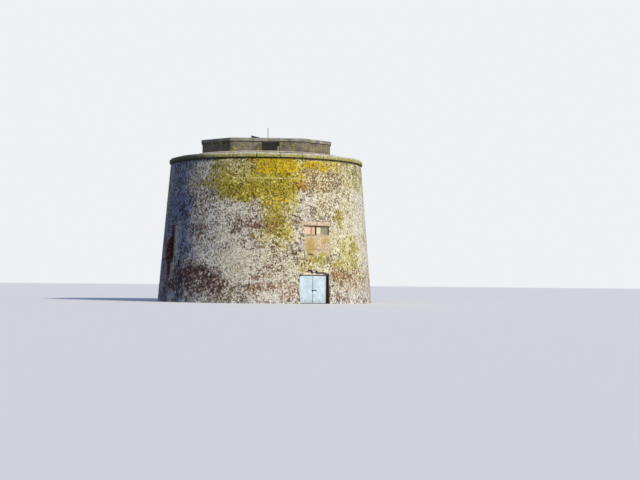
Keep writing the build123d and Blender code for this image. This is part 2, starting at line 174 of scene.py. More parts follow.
def grain(tree, place, scale, detail, rough):
    """Soft random clouds, about 1/scale metres across."""
    inputs = {"Vector": place, "Scale": scale, "Detail": detail, "Roughness": rough}
    return add(tree, "TexNoise", inputs).outputs[0]


def speckle(tree, place, scale, detail, rough, low, high):
    """Clouds sharpened into spots between two levels."""
    return step(tree, grain(tree, place, scale, detail, rough), low, high)


def material(name, roughness, metallic=0.0, specular=0.3):
    """A material, its tree and its shader, with the plain numbers set."""
    made = bpy.data.materials.new(name)
    made.use_nodes = True
    shader = made.node_tree.nodes["Principled BSDF"]
    shader.inputs["Roughness"].default_value = roughness
    shader.inputs["Metallic"].default_value = metallic
    shader.inputs["Specular IOR Level"].default_value = specular
    return made, made.node_tree, shader


def paint(tree, shader, colour):
    """Gives a shader its colour."""
    tree.links.new(colour, shader.inputs["Base Color"])


def bump(tree, shader, height, strength, distance):
    """Fine relief on a shader."""
    inputs = {"Height": height, "Strength": strength, "Distance": distance}
    tree.links.new(add(tree, "Bump", inputs).outputs[0], shader.inputs["Normal"])


def dress(finish, *names):
    """Gives CAD nodes a finish."""
    for name in names:
        nodes[name].data.materials.clear()
        nodes[name].data.materials.append(finish)


print("material helpers ready")

# %% [markdown]
# The light is one wide sun from the right and a cool, even sky, so that a colour shows about
# as it is written and the left side falls into shade, as on the real tower. The sky looks pale
# to the camera, and the light that it gives is bluer and dimmer. A weak lamp under the roof
# slab stands for the daylight that comes in by the four embrasures.


# %% Sun and sky
def seen_plainly(tree):
    """1 where the camera looks, straight or by a mirror or glass, and 0 for other light."""
    path = add(tree, "LightPath")
    seen = sums(tree, "MAXIMUM", path.outputs["Is Camera Ray"], path.outputs["Is Glossy Ray"])
    return sums(tree, "MAXIMUM", seen, path.outputs["Is Transmission Ray"])


sun_azimuth, sun_height = math.radians(13), math.radians(33)
sun_from = Vector((math.sin(sun_azimuth), -math.cos(sun_azimuth), math.tan(sun_height))).normalized()
sun_data = bpy.data.lights.new("sun", "SUN")
sun_data.energy = 3.6
sun_data.angle = math.radians(6)
sun_data.color = (1.0, 0.95, 0.87)
sun = bpy.data.objects.new("sun", sun_data)
sun.rotation_mode = "QUATERNION"
sun.rotation_quaternion = sun_from.to_track_quat("Z", "Y")
bpy.context.scene.collection.objects.link(sun)

slab_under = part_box("roof_slab")[0].z
inner_data = bpy.data.lights.new("inner_light", "AREA")
inner_data.energy, inner_data.size = 8.0, 4.0
inner = bpy.data.objects.new("inner_light", inner_data)
inner.location = (0.0, 0.0, slab_under - 0.05)
bpy.context.scene.collection.objects.link(inner)

world = bpy.data.worlds.new("sky")
bpy.context.scene.world = world
world.use_nodes = True
tree = world.node_tree
sky_light, backdrop = (0.16, 0.25, 0.46, 1), (0.86, 0.88, 0.9, 1)
colour = mix(tree, seen_plainly(tree), sky_light, backdrop)
tree.links.new(colour, tree.nodes["Background"].inputs["Color"])
bpy.context.scene.view_settings.view_transform = "Standard"
print("sun from", [round(v, 2) for v in sun_from])

# %% [markdown]
# The floor is one very wide disc, so that its edge lies at the horizon. It is told the same
# way as the sky what the camera is shown and what light it gives back. It is a stage for the
# tower and not a part of it.

# %% Floor
bpy.ops.object.select_all(action="DESELECT")
bpy.ops.mesh.primitive_circle_add(vertices=96, radius=900.0, fill_type="NGON", location=(0, 0, 0))
floor = bpy.context.object
floor.name = "floor"
pale_floor, tree, shader = material("pale_floor", 0.95, specular=0.1)
floor_light, floor_seen = (0.2, 0.19, 0.17, 1), (0.8, 0.76, 0.71, 1)
paint(tree, shader, mix(tree, seen_plainly(tree), floor_light, floor_seen))
floor.data.materials.append(pale_floor)
floor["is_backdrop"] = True
print("floor", round(floor.dimensions.x), "m wide")

# %% [markdown]
# The wall is a cone: 6.87 m in radius at the ground and 6.125 m under the coping. Places on it
# are given by an azimuth, counted from the entrance towards the right as one looks at it, and
# a height. The same two numbers say where the weather has worked: lichen high up and left of
# the entrance, bare brick low down and in bands, and a few fields of sound grey render.

# %% The wall and its weather zones
foot_radius, top_radius, top_height = 6.87, 6.125, 8.82
batter = math.atan((foot_radius - top_radius) / top_height)


def wall_radius(z):
    """The wall's radius at a height."""
    return foot_radius - (foot_radius - top_radius) * z / top_height


def on_wall(azimuth, z, proud=0.0):
    """The point of the wall's face at an azimuth in radians and a height."""
    reach = wall_radius(z) + proud
    return (reach * math.sin(azimuth), -reach * math.cos(azimuth), z)


# Each zone is azimuth from, to, height from, to, strength. The azimuths are in degrees and run
# from -125 round the front and the back to 235. Limits are even degrees and fifths of a metre,
# because zones that share a limit share a node, and the renderer holds only some 200 of them.
rear_azimuth = -125.0
lichen_zones = [
    (-74, -56, 7.6, 9.4, 0.35),
    (-74, -56, 7.0, 7.6, 0.7),
    (-60, -44, 7.0, 9.4, 0.7),
    (-56, -38, 6.2, 7.2, 0.9),
    (-44, -34, 8.0, 9.4, 0.6),
    (-38, -12, 6.4, 8.2, 1.0),
    (-28, -20, 4.8, 6.4, 1.0),
    (-22, -12, 5.4, 6.4, 0.5),
    (-30, -14, 4.0, 5.2, 0.65),
    (-38, -28, 3.2, 4.2, 0.45),
    (-24, -16, 3.2, 4.0, 0.45),
    (-12, 0, 1.8, 2.4, 0.6),
    (-6, 8, 2.4, 3.0, 0.75),
    (12, 18, 4.8, 5.6, 1.3),
    (12, 16, 2.2, 3.0, 0.8),
    (24, 32, 2.0, 4.0, 0.8),
    (18, 40, 7.0, 9.4, 0.4),
    (16, 34, 5.2, 7.0, 0.3),
    (16, 22, 2.2, 4.6, 0.3),
    (100, 250, 6.4, 9.6, 0.35),
]
gold_zones = [
    (-34, -12, 8.0, 9.4, 1.5),
    (-8, 6, 8.0, 8.6, 1.0),
    (6, 18, 8.0, 9.4, 0.6),
    (-38, -12, 6.4, 8.0, 0.4),
    (-28, -20, 4.8, 6.4, 0.35),
    (-22, -12, 5.4, 6.4, 0.5),
    (-24, -16, 3.2, 4.8, 0.5),
    (-12, -8, 6.8, 7.6, 0.8),
    (-56, -40, 6.2, 7.2, 0.3),
    (-8, 8, 8.0, 8.6, 0.5),
]
film_zones = [
    (-58, -48, 7.2, 9.4, 0.35),
    (-56, -38, 6.2, 8.0, 1.0),
    (-48, -36, 8.0, 9.4, 0.5),
    (-38, -12, 6.2, 9.4, 1.0),
    (-12, -4, 6.8, 8.0, 1.0),
    (-12, 18, 8.0, 9.4, 0.85),
    (-4, 18, 6.8, 8.0, 0.45),
    (-30, -12, 3.8, 6.4, 0.35),
    (-30, 60, 1.4, 6.8, 0.15),
    (8, 30, 2.0, 6.8, 0.15),
    (18, 60, 7.0, 9.4, 0.25),
    (18, 78, 6.8, 9.4, 0.2),
    (0, 8, 5.2, 6.8, 0.25),
    (-56, -12, 0.2, 6.2, 0.12),
    (-12, 8, 1.8, 3.0, 0.3),
    (12, 34, 2.0, 4.2, 0.3),
    (8, 36, 0.6, 2.0, 0.25),
]
bare_zones = [
    (-88, -52, 0.6, 2.2, 0.8),
    (-76, -48, 4.4, 4.8, 0.42),
    (-48, -24, 4.4, 5.0, 0.8),
    (-38, -24, 1.6, 1.8, 0.9),
    (-38, -16, 0.8, 1.2, 0.85),
    (-20, -12, 0.2, 1.4, 0.5),
    (-38, -28, 3.2, 4.2, 0.15),
    (-12, 12, 6.8, 8.0, 0.4),
    (-12, -4, 6.8, 7.6, 0.5),
    (0, 6, 5.8, 6.2, 0.6),
    (10, 20, 1.2, 2.0, 0.6),
    (20, 36, 0.8, 2.2, 0.4),
    (36, 62, 0.8, 2.4, 0.4),
    (50, 96, 0.4, 2.0, 0.35),
    (38, 60, 3.4, 4.4, 0.6),
    (90, 150, 1.6, 4.0, 0.4),
    (170, 216, 4.6, 5.4, 0.5),
    (190, 240, 0.0, 3.0, 0.4),
]
pale_zones = [
    (-14, 0, 5.8, 6.8, 0.7),
    (0, 8, 5.2, 6.6, 0.45),
    (-12, -8, 8.0, 8.8, 1.0),
    (-66, -36, 2.2, 6.2, 0.65),
    (-56, -46, 7.2, 9.4, 1.1),
    (-72, -56, 7.0, 9.4, 0.55),
    (-92, -82, 2.0, 5.0, 0.9),
    (-22, -8, 3.0, 4.6, 0.35),
    (-38, -12, 0.2, 2.0, 0.9),
    (8, 20, 2.2, 7.0, 0.4),
    (20, 58, 2.4, 6.8, 0.5),
    (20, 66, 2.2, 7.0, 0.45),
    (20, 80, 1.8, 7.6, 0.45),
    (20, 60, 0.2, 2.2, 0.7),
    (-20, -12, 5.4, 6.8, 0.4),
    (-52, -34, 3.2, 4.4, 0.4),
    (20, 60, 7.0, 9.4, 0.3),
    (20, 76, 6.8, 9.4, 0.2),
    (-8, 8, 1.8, 3.0, 0.5),
]
sound_zones = [(-52, -38, 1.4, 3.2, 1.0), (-38, -28, 2.2, 3.4, 0.6), (8, 14, 3.2, 5.2, 0.8)]
# These zones are painted shade: the left side, away from the sun, is darkened and turned blue-grey.
shade_stain_zones = [
    (-130, -76, -1.0, 9.8, 0.45),
    (-112, -76, -1.0, 9.8, 0.45),
    (-100, -76, -1.0, 9.8, 0.5),
    (-100, -70, 2.6, 6.6, 0.9),
    (-76, -60, 0.2, 1.8, 0.35),
]
scar_height, scar_azimuths = 7.555, (-46, 10)
growth = (lichen_zones, gold_zones, film_zones)
loss = (bare_zones, pale_zones, sound_zones, shade_stain_zones)
print("zones of each kind", [len(zones) for zones in (*growth, *loss)])

# %% [markdown]
# The zones go into one node group, so that bricks, mortar and render share the same weather.
# Azimuth and height are first pushed about by large soft clouds, because a zone with straight
# edges would look painted.


# %% The weather as a node group
soft_degrees, soft_metres = 4, 0.2


def zone(tree, azimuth, height, limits, soft_by):
    """A soft-edged rectangle on the wall."""
    start, end, low, high, strength = limits
    edge = step(tree, azimuth, start - soft_by, start + soft_by)
    edge = sums(tree, "MINIMUM", edge, step(tree, azimuth, end + soft_by, end - soft_by))
    level = step(tree, height, low - soft_metres, low + soft_metres)
    level = sums(tree, "MINIMUM", level, step(tree, height, high + soft_metres, high - soft_metres))
    return times(tree, times(tree, edge, level), strength)


def zones_together(tree, azimuth, height, zones, soft_by=soft_degrees):
    """The sum of several zones."""
    total = zone(tree, azimuth, height, zones[0], soft_by)
    for limits in zones[1:]:
        total = sums(tree, "ADD", total, zone(tree, azimuth, height, limits, soft_by))
    return total


weather = bpy.data.node_groups.new("weather", "ShaderNodeTree")
tree = weather
place = surface_place(tree)
across, deep, up = split(tree, place)
degrees = times(tree, sums(tree, "ARCTAN2", across, times(tree, deep, -1.0)), 180 / math.pi)
behind = sums(tree, "LESS_THAN", degrees, rear_azimuth)
degrees = sums(tree, "ADD", degrees, times(tree, behind, 360.0))
drift = add(tree, "TexNoise", {"Vector": place, "Scale": 1.1, "Detail": 5.0, "Roughness": 0.65})
drift_across, drift_up, _ = split(tree, drift.outputs["Color"])
azimuth = sums(tree, "ADD", degrees, scaled(tree, drift_across, 24.0, -12.0))
height = sums(tree, "ADD", up, scaled(tree, drift_up, 1.6, -0.8))
scar = step(tree, away(tree, up, scar_height), 0.055, 0.03)
scar = times(tree, scar, step(tree, azimuth, scar_azimuths[0] - 3, scar_azimuths[0]))
scar = times(tree, scar, step(tree, azimuth, scar_azimuths[1] + 3, scar_azimuths[1]))
clean = scaled(tree, scar, -0.8, 1.0)
print("weather's place nodes", len(weather.nodes))

# %% [markdown]
# Each kind of weather is a cloud pattern that is lifted over its threshold where its zones say
# so. That keeps the lichen in flecks, at full strength in the middle of a zone and scattered
# along its edge, where a plain mask would fade like paint from a spray can. Lime holds on
# where the zones of sound and pale render are, and pits open where it has gone. Their dark is
# painted shade in the holes, and more of them are painted on the left, which the sun only
# grazes. The stain is painted shade: the side away from the sun, dark and blue-grey.

# %% The kinds of weather
flat_place = stretched(tree, place, 1.0, 0.8)
low_place = stretched(tree, place, 1.0, 0.85)
lichen = sums(tree, "MINIMUM", zones_together(tree, azimuth, height, lichen_zones), 1.15)
lichen = scaled(tree, lichen, 0.19, grain(tree, flat_place, 6.0, 4.0, 0.75))
lichen = times(tree, step(tree, lichen, 0.58, 0.66), clean)
gold = zones_together(tree, azimuth, height, gold_zones)
gold = scaled(tree, gold, 0.2, grain(tree, flat_place, 9.0, 3.0, 0.75))
gold = times(tree, step(tree, gold, 0.62, 0.74), clean)
film = sums(tree, "MINIMUM", zones_together(tree, azimuth, height, film_zones), 1.0)
bare = zones_together(tree, azimuth, height, bare_zones)
cover = zones_together(tree, azimuth, height, sound_zones + pale_zones)
cover = times(tree, sums(tree, "ADD", cover, scar), 0.06)
cover = scaled(tree, bare, -0.09, cover)
patchy = scaled(tree, grain(tree, place, 1.7, 3.0, 0.6), 0.3, -0.15)
cover = sums(tree, "ADD", cover, patchy)
flakes = grain(tree, low_place, 8.5, 3.0, 0.75)
lime = step(tree, sums(tree, "ADD", cover, flakes), 0.47, 0.52)
# Painted shade on the side away from the sun, kept off the cheek beside the breach.
shade_stain = zones_together(tree, azimuth, height, shade_stain_zones, 6)
drip = grain(tree, stretched(tree, place, 2.2, 0.5), 1.0, 5.0, 0.7)
shade_stain = step(tree, scaled(tree, shade_stain, 0.22, drip), 0.58, 0.86)
cheek = sums(tree, "MINIMUM", step(tree, degrees, -92.0, -91.0), step(tree, degrees, -80.0, -84.0))
cheek = times(tree, cheek, step(tree, height, 5.2, 4.8))
shade_stain = times(tree, shade_stain, scaled(tree, cheek, -0.85, 1.0))
# More pits on the left, which the sun only grazes; their dark is painted shade.
shaded = step(tree, degrees, -28.0, -50.0)
pits = scaled(tree, shaded, 0.035, grain(tree, low_place, 8.0, 4.0, 0.85))
pits = step(tree, scaled(tree, cover, -0.5, pits), 0.555, 0.6)
dry = step(tree, degrees, -50.0, -10.0)
outlets = {"Dry": dry, "Lichen": lichen, "Gold": gold, "Bare": bare}
outlets |= {"Lime": lime, "ShadeStain": shade_stain, "Film": film, "PitShade": pits}
group_out = weather.nodes.new("NodeGroupOutput")
for name, socket in outlets.items():
    weather.interface.new_socket(name, in_out="OUTPUT", socket_type="NodeSocketFloat")
    weather.links.new(socket, group_out.inputs[name])
print("weather nodes", len(weather.nodes))

# %% [markdown]
# What the weather does to a colour is the same on brick, mortar and render: a mottled tone, a
# yellow-green film, two kinds of lichen, dark pits as painted shade in holes, a blue-grey
# painted shade on the side away from the sun, and a painted shadow under the coping. So it is
# one function, which each finish calls last. Brick and mortar also carry specks of the lime
# that the render left, chalky white where it is thick.


# %% Weather over a colour
def weathered(tree, colour, group):
    """A colour with the weather over it, from the weather group's outlets."""
    place = surface_place(tree)
    shade = speckle(tree, stretched(tree, place, 1.0, 0.8), 9.0, 3.0, 0.8, 0.36, 0.64)
    mottle = speckle(tree, stretched(tree, place, 1.0, 0.75), 5.0, 4.0, 0.8, 0.3, 0.7)
    mottle = mix(tree, mottle, (0.76, 0.74, 0.72, 1.0), (1.1, 1.1, 1.1, 1.0))
    colour = mix(tree, 1.0, colour, mottle, "MULTIPLY")
    colour = over(tree, group.outputs["Film"], 0.9, colour, (1.0, 0.92, 0.24, 1.0), "MULTIPLY")
    green = mix(tree, shade, tint(78, 68, 4), tint(204, 184, 42))
    colour = over(tree, group.outputs["Lichen"], 0.85, colour, green)
    yellow = mix(tree, shade, tint(110, 84, 0), tint(242, 206, 4))
    colour = over(tree, group.outputs["Gold"], 0.92, colour, yellow)
    # Painted shade in pits and holes.
    colour = over(tree, group.outputs["PitShade"], 0.9, colour, tint(34, 27, 25))
    # Painted shade: the side away from the sun is made dark and blue-grey.
    colour = over(tree, group.outputs["ShadeStain"], 0.95, colour, (0.44, 0.52, 0.82, 1.0), "MULTIPLY")
    # A painted shadow under the coping's overhang.
    coping_shadow = step(tree, split(tree, place)[2], 8.69, 8.76)
    return over(tree, coping_shadow, 0.8, colour, tint(46, 42, 24))


def lime_specks(tree, base, group):
    """A face with what is left of its lime over it."""
    thick = speckle(tree, surface_place(tree), 13.0, 3.0, 0.7, 0.35, 0.62)
    damp_chalk = mix(tree, thick, tint(212, 203, 188), tint(255, 252, 243))
    dry_chalk = mix(tree, thick, tint(206, 197, 182), tint(255, 253, 246))
    chalk = mix(tree, group.outputs["Dry"], damp_chalk, dry_chalk)
    return mix(tree, group.outputs["Lime"], base, chalk)


print("weathered colours have", len(outlets), "outlets to draw on")

# %% [markdown]
# The bricks are pale yellow to purple-brown stocks. Each brick has a tone of its own in the
# attribute brick_tone, and over it lie the white specks of lime that the render left behind.
# Where the wall is bare the bricks are rosy, dark in the damp shade and light on the dry side.

# %% The brick
brick_finish, tree, shader = material("stock_brick", 0.93)
tone = add(tree, "Attribute", attribute_name="brick_tone").outputs["Fac"]
stops = add(tree, "ValToRGB", {0: tone})
ramp = stops.color_ramp
ramp.elements[0].color, ramp.elements[1].color = tint(78, 64, 58), tint(196, 174, 142)
for position, colour in (
    (0.3, tint(112, 90, 78)),
    (0.55, tint(150, 128, 106)),
    (0.8, tint(140, 106, 90)),
):
    ramp.elements.new(position).color = colour
group = add(tree, "Group", node_tree=weather)
rosy = mix(tree, group.outputs["Dry"], tint(116, 58, 56), tint(222, 166, 124))
colour = over(tree, group.outputs["Bare"], 0.75, stops.outputs[0], rosy)
paint(tree, shader, weathered(tree, lime_specks(tree, colour, group), group))
bump(tree, shader, grain(tree, surface_place(tree), 8.0, 5.0, 0.8), 1.0, 0.065)
print("brick tones", len(ramp.elements))

# %% [markdown]
# Mortar is the CAD wall itself, seen between the bricks. The same solid also shows inside the
# doorway, the breach and the rooms. There the brick joints are drawn by a brick pattern that
# runs round the room, and the face is dark near the outside, grime together with painted
# shade in the reveals, and limewashed further in. How far a point lies behind the wall's face
# tells the three apart.


# %% The mortar and the wall's inside
def from_axis(tree, place):
    """How far a place is from the tower's axis."""
    level = add(tree, "VectorMath", {0: place, 1: (1, 1, 0)}, operation="MULTIPLY").outputs[0]
    return add(tree, "VectorMath", {0: level}, operation="LENGTH").outputs["Value"]


def room_joints(tree, place, smooth):
    """The brick joints of the round room, which run round the room's own centre."""
    x, y, z = split(tree, place)
    facing = times(tree, sums(tree, "ADD", y, room_offset), -1.0)
    round_room = times(tree, sums(tree, "ARCTAN2", x, facing), room_radius)
    inputs = {"Vector": add(tree, "CombineXYZ", {0: round_room, 1: z}).outputs[0], "Scale": 1.0}
    inputs |= {"Mortar Size": 0.006, "Mortar Smooth": smooth, "Brick Width": 0.225, "Row Height": 0.075}
    return add(tree, "TexBrick", inputs).outputs["Fac"]


room_offset, room_radius = 0.6, 3.9
mortar_finish, tree, shader = material("lime_mortar", 0.95)
place = surface_place(tree)
group = add(tree, "Group", node_tree=weather)
sand = mix(tree, grain(tree, place, 22.0, 3.0, 0.6), tint(118, 104, 86), tint(176, 162, 138))
outside = weathered(tree, lime_specks(tree, sand, group), group)
face_at = scaled(tree, split(tree, place)[2], -(foot_radius - top_radius) / top_height, foot_radius)
inward = sums(tree, "SUBTRACT", face_at, from_axis(tree, place))
within = step(tree, inward, 0.03, 0.06)
joints = room_joints(tree, place, 0.1)
wash = speckle(tree, place, 3.0, 6.0, 0.75, 0.36, 0.64)
wash = mix(tree, wash, tint(148, 128, 104), tint(214, 204, 180))
wash = over(tree, joints, 0.5, wash, tint(120, 106, 86))
# Grime and painted shade on the reveals near the outside.
grime_and_shade = speckle(tree, place, 7.0, 5.0, 0.75, 0.38, 0.64)
grime_and_shade = mix(tree, grime_and_shade, tint(62, 50, 40), tint(128, 108, 84))
grime_and_shade = over(tree, joints, 0.6, grime_and_shade, tint(44, 38, 30))
wash = mix(tree, step(tree, inward, 0.72, 0.82), grime_and_shade, wash)
paint(tree, shader, mix(tree, within, outside, wash))
relief = scaled(tree, times(tree, joints, within), -0.3, grain(tree, place, 10.0, 6.0, 0.75))
bump(tree, shader, relief, 0.8, 0.02)
dress(mortar_finish, *[name for name in nodes if name.startswith(("lower_wall", "upper_wall"))])
print("mortar nodes", len(tree.nodes))

# %% [markdown]
# The render that still holds is lime and coarse sand, chalky where it is thick and darker
# where the sand has come through. It shares the wall's weather.

# %% The lime render
render_finish, tree, shader = material("lime_render", 0.92)
place = surface_place(tree)
chalk = speckle(tree, place, 9.0, 5.0, 0.75, 0.36, 0.62)
colour = mix(tree, chalk, tint(172, 162, 144), tint(246, 240, 224))
sandy = speckle(tree, stretched(tree, place, 1.0, 0.7), 14.0, 3.0, 0.75, 0.54, 0.64)
colour = mix(tree, sandy, colour, tint(122, 106, 88))
paint(tree, shader, weathered(tree, colour, add(tree, "Group", node_tree=weather)))
bump(tree, shader, grain(tree, place, 24.0, 4.0, 0.6), 0.5, 0.006)
print("render nodes", len(tree.nodes))

# %% [markdown]
# The brickwork is English bond: a course of stretchers, then a course of headers, all the way
# round. One brick is modelled, a block whose face is a little smaller than its root, as a
# worn brick's is, and open at the back where the mortar holds it. Each course is a circle of
# places that stops at the doorway, the entrance, the lintels and the breach.

# %% One brick
bpy.ops.object.select_all(action="DESELECT")
bpy.ops.mesh.primitive_cube_add(size=1.0, location=(0, 0, 0))
one_brick = bpy.context.object
one_brick.name = "one_brick"
bpy.ops.object.mode_set(mode="EDIT")
bpy.ops.mesh.select_all(action="DESELECT")
shape = bmesh.from_edit_mesh(one_brick.data)
for face in shape.faces:
    face.select = face.normal.y > 0.9
bmesh.update_edit_mesh(one_brick.data)
bpy.ops.mesh.delete(type="FACE")
shape = bmesh.from_edit_mesh(one_brick.data)
for face in shape.faces:
    face.select = face.normal.y < -0.9
shape.select_flush(True)
bmesh.update_edit_mesh(one_brick.data)
bpy.ops.transform.resize(value=(0.975, 1.0, 0.93))
bpy.ops.object.mode_set(mode="OBJECT")
one_brick.data.materials.append(brick_finish)
print("brick faces", len(one_brick.data.polygons))

# %% [markdown]
# What the courses stop at: the ragged outline of the breach is written down once more here,
# across the wall and up, because the bricks follow it, and so is the broken edge over the
# doorway, where the outer skin has come away from the lintel. An opening is its left and right
# edge and the heights of its foot and head, and the doorway's foot is the ground. A course
# stops at what its middle is in, or within a bed joint of. At the breach its bricks reach a
# tooth over the edge, because the hole was broken and not built.

# %% Openings that the courses stop at
doorway = (-1.277, 0.763, 1.74)
entrance = (-0.879, 0.879, 2.93, 4.72)
entrance_lintel = (-1.049, 1.049, 4.72, 5.0)
scaffold_hole = (math.radians(-82.0), 0.17, 2.2, 2.53)
breach_azimuth = math.radians(-93.6)
breach_outline = [(0.25, 4.98), (0.56, 4.93), (0.65, 4.3), (0.72, 2.62), (0.47, 2.48), (0.4, 1.85)]
breach_outline += [(0.13, 1.18), (-0.13, 1.6), (-0.33, 2.33), (-0.6, 2.62), (-0.72, 3.15)]
breach_outline += [(-0.65, 3.64), (-0.33, 3.94), (0.0, 4.12), (0.11, 4.64)]
break_outline = [(0.23, 0.0), (2.04, 0.0), (2.04, 0.09), (1.83, 0.14), (1.6, 0.195)]
break_outline += [(1.3, 0.18), (1.12, 0.26), (1.04, 0.2), (0.89, 0.2), (0.83, 0.32)]
break_outline += [(0.6, 0.345), (0.52, 0.25), (0.34, 0.19), (0.25, 0.03)]
break_outline = [(doorway[0] + x, doorway[2] + z) for x, z in break_outline]
bed, tooth = 0.03, 0.035


def crossings(outline, z):
    """The stretches over which an outline is open at a height."""
    found = []
    for (x0, z0), (x1, z1) in zip(outline, outline[1:] + outline[:1]):
        if (z0 - z) * (z1 - z) < 0:
            found.append(x0 + (x1 - x0) * (z - z0) / (z1 - z0))
    found.sort()
    return list(zip(found[::2], found[1::2]))


def closed_spans(z):
    """The spans of azimuth that a course at this height leaves open."""
    reach = wall_radius(z)
    spans = []
    if z < doorway[2]:
        spans.append((0.0, doorway[0], doorway[1]))
    for left, right, low, high in (entrance, entrance_lintel):
        if low - bed < z < high + bed:
            spans.append((0.0, left, right))
    for left, right in crossings(break_outline, z):
        spans.append((0.0, left, right))
    for left, right in crossings(breach_outline, z):
        spans.append((breach_azimuth, left + tooth, right - tooth))
    azimuth, width, low, high = scaffold_hole
    if low - bed < z < high + bed:
        spans.append((azimuth, -width / 2, width / 2))
    return [(at + math.asin(left / reach), at + math.asin(right / reach)) for at, left, right in spans]


print("breach open at 3.2 m", [[round(x, 3) for x in hole] for hole in crossings(breach_outline, 3.2)])

# %% [markdown]
# A point cloud says where each brick lies, how it is turned, how large it is and what tone it
# has. Geometry Nodes puts a copy of the brick on each point and makes real mesh of them.


# %% Laying bricks by Geometry Nodes
def laying_nodes(brick):
    """The node tree that puts a brick on each point."""
    tree = bpy.data.node_groups.new("laying", "GeometryNodeTree")
    tree.interface.new_socket("Geometry", in_out="INPUT", socket_type="NodeSocketGeometry")
    tree.interface.new_socket("Geometry", in_out="OUTPUT", socket_type="NodeSocketGeometry")
    points, laid = tree.nodes.new("NodeGroupInput"), tree.nodes.new("NodeGroupOutput")
    copies = tree.nodes.new("GeometryNodeInstanceOnPoints")
    source = tree.nodes.new("GeometryNodeObjectInfo")
    source.inputs["Object"].default_value = brick
    real = tree.nodes.new("GeometryNodeRealizeInstances")
    tree.links.new(points.outputs[0], copies.inputs["Points"])
    tree.links.new(source.outputs["Geometry"], copies.inputs["Instance"])
    for attribute, socket in (("brick_turn", "Rotation"), ("brick_size", "Scale")):
        reader = tree.nodes.new("GeometryNodeInputNamedAttribute")
        reader.data_type = "FLOAT_VECTOR"
        reader.inputs["Name"].default_value = attribute
        tree.links.new(reader.outputs["Attribute"], copies.inputs[socket])
    tree.links.new(copies.outputs["Instances"], real.inputs[0])
    tree.links.new(real.outputs[0], laid.inputs[0])
    return tree


def lay(name, bricks, tree):
    """A piece of brickwork from rows of place, turn, size and tone."""
    rows = np.array(bricks, dtype=np.float64)
    cloud = bpy.data.meshes.new(name)
    cloud.from_pydata([tuple(p) for p in rows[:, 0:3]], [], [])
    for attribute, columns in (("brick_turn", (3, 6)), ("brick_size", (6, 9))):
        data = cloud.attributes.new(attribute, "FLOAT_VECTOR", "POINT").data
        data.foreach_set("vector", rows[:, columns[0] : columns[1]].ravel())
    cloud.attributes.new("brick_tone", "FLOAT", "POINT").data.foreach_set("value", rows[:, 9])
    piece = bpy.data.objects.new(name, cloud)
    bpy.context.scene.collection.objects.link(piece)
    bpy.ops.object.select_all(action="DESELECT")
    piece.select_set(True)
    bpy.context.view_layer.objects.active = piece
    piece.modifiers.new("laying", "NODES").node_group = tree
    bpy.ops.object.modifier_apply(modifier="laying")
    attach(piece, "tower")


laying = laying_nodes(one_brick)
print("laying nodes", len(laying.nodes))

# %% [markdown]
# Now the courses themselves, about 74 mm high with their joint. The lowest two are left to the
# mortar, because the wall's foot is the widest part of the CAD box, and for the same reason
# the bricks lie straight near the ground. Higher up each one leans and turns a little, stands
# in or out by a few millimetres, and has a tone of its own.


# %% The courses round the wall
def cut_back(start, end, spans):
    """A brick's two ends, cut back to the openings that it would reach into."""
    for low, high in spans:
        if start < high and end > low:
            if start < low:
                end = low
            elif end > high:
                start = high
            else:
                start = end
    return start, end


def side_of(azimuth):
    """The side that an azimuth is on, counted from half a side left of the entrance."""
    turned = math.degrees(azimuth) + 45 + whole_turn
    return sides[int(turned % whole_turn // 90)]


def worn_brick(middle, z, width):
    """The place, turn, size and tone of one brick, each a little at random."""
    proud = 0.0055 + 0.004 * noise.noise(Vector(on_wall(middle, z)) * 3.0) - 0.003 * chance.random() ** 3
    x, y, _ = on_wall(middle, z, proud - brick_depth / 2)
    rough = most_turn * min(1.0, z / straight_below)
    sway = rough * (chance.random() - 0.5)
    lean = rough * (chance.random() - 0.5)
    tone = min(1.0, max(0.0, 0.5 + 0.24 * chance.standard_normal()))
    height = course - joint * (0.7 + 0.6 * chance.random())
    return (x, y, z, lean - batter, 0.0, middle + sway, width, brick_depth, height, tone)


def brick_course(number):
    """One course round the wall, as bricks with the side that they are on."""
    z = (number + 0.5) * course
    reach = wall_radius(z)
    pitch, shift = (stretcher, 0.25) if number % 2 else (header, 0.0)
    count = round(2 * math.pi * reach / pitch)
    spans = closed_spans(z)
    bricks = []
    for place_number in range(count):
        start = (place_number + shift) / count * 2 * math.pi - math.pi
        start, end = cut_back(start, start + 2 * math.pi / count, spans)
        width = (end - start) * reach - joint
        if width >= narrowest_brick:
            middle = (start + end) / 2
            bricks.append((side_of(middle), worn_brick(middle, z, width)))
    return bricks


chance = np.random.default_rng(1805)
course, stretcher, header, joint = 0.0735, 0.225, 0.1125, 0.010
brick_depth, narrowest_brick, first_course = 0.02, 0.03, 2
most_turn, straight_below = 0.07, 0.9
upper_storey = entrance[2]
sides, whole_turn = ["front", "right", "rear", "left"], 360
storeys = {"lower": [], "upper": []}
for number in range(first_course, int(top_height / course)):
    storey = "lower" if (number + 0.5) * course < upper_storey else "upper"
    storeys[storey] += brick_course(number)
for storey, bricks in storeys.items():
    for side in sides:
        picked = [row for where, row in bricks if where == side]
        lay(f"brickwork_{storey}_{side}", picked, laying)
print("bricks laid", sum(len(bricks) for bricks in storeys.values()))

# %% [markdown]
# What is left of the render stands a few millimetres proud of the brick in patches with broken
# edges. The same zones as in the finish say where it holds, with clouds of two sizes for the
# ragged edge, and it has fallen from round the openings. Here the zones are worked out for
# places of a mesh, in the same way as the nodes do it.


# %% Where the render holds
def soft(values, low, high):
    """A soft step as in the finishes."""
    share = np.clip((values - low) / (high - low), 0.0, 1.0)
    return share * share * (3 - 2 * share)


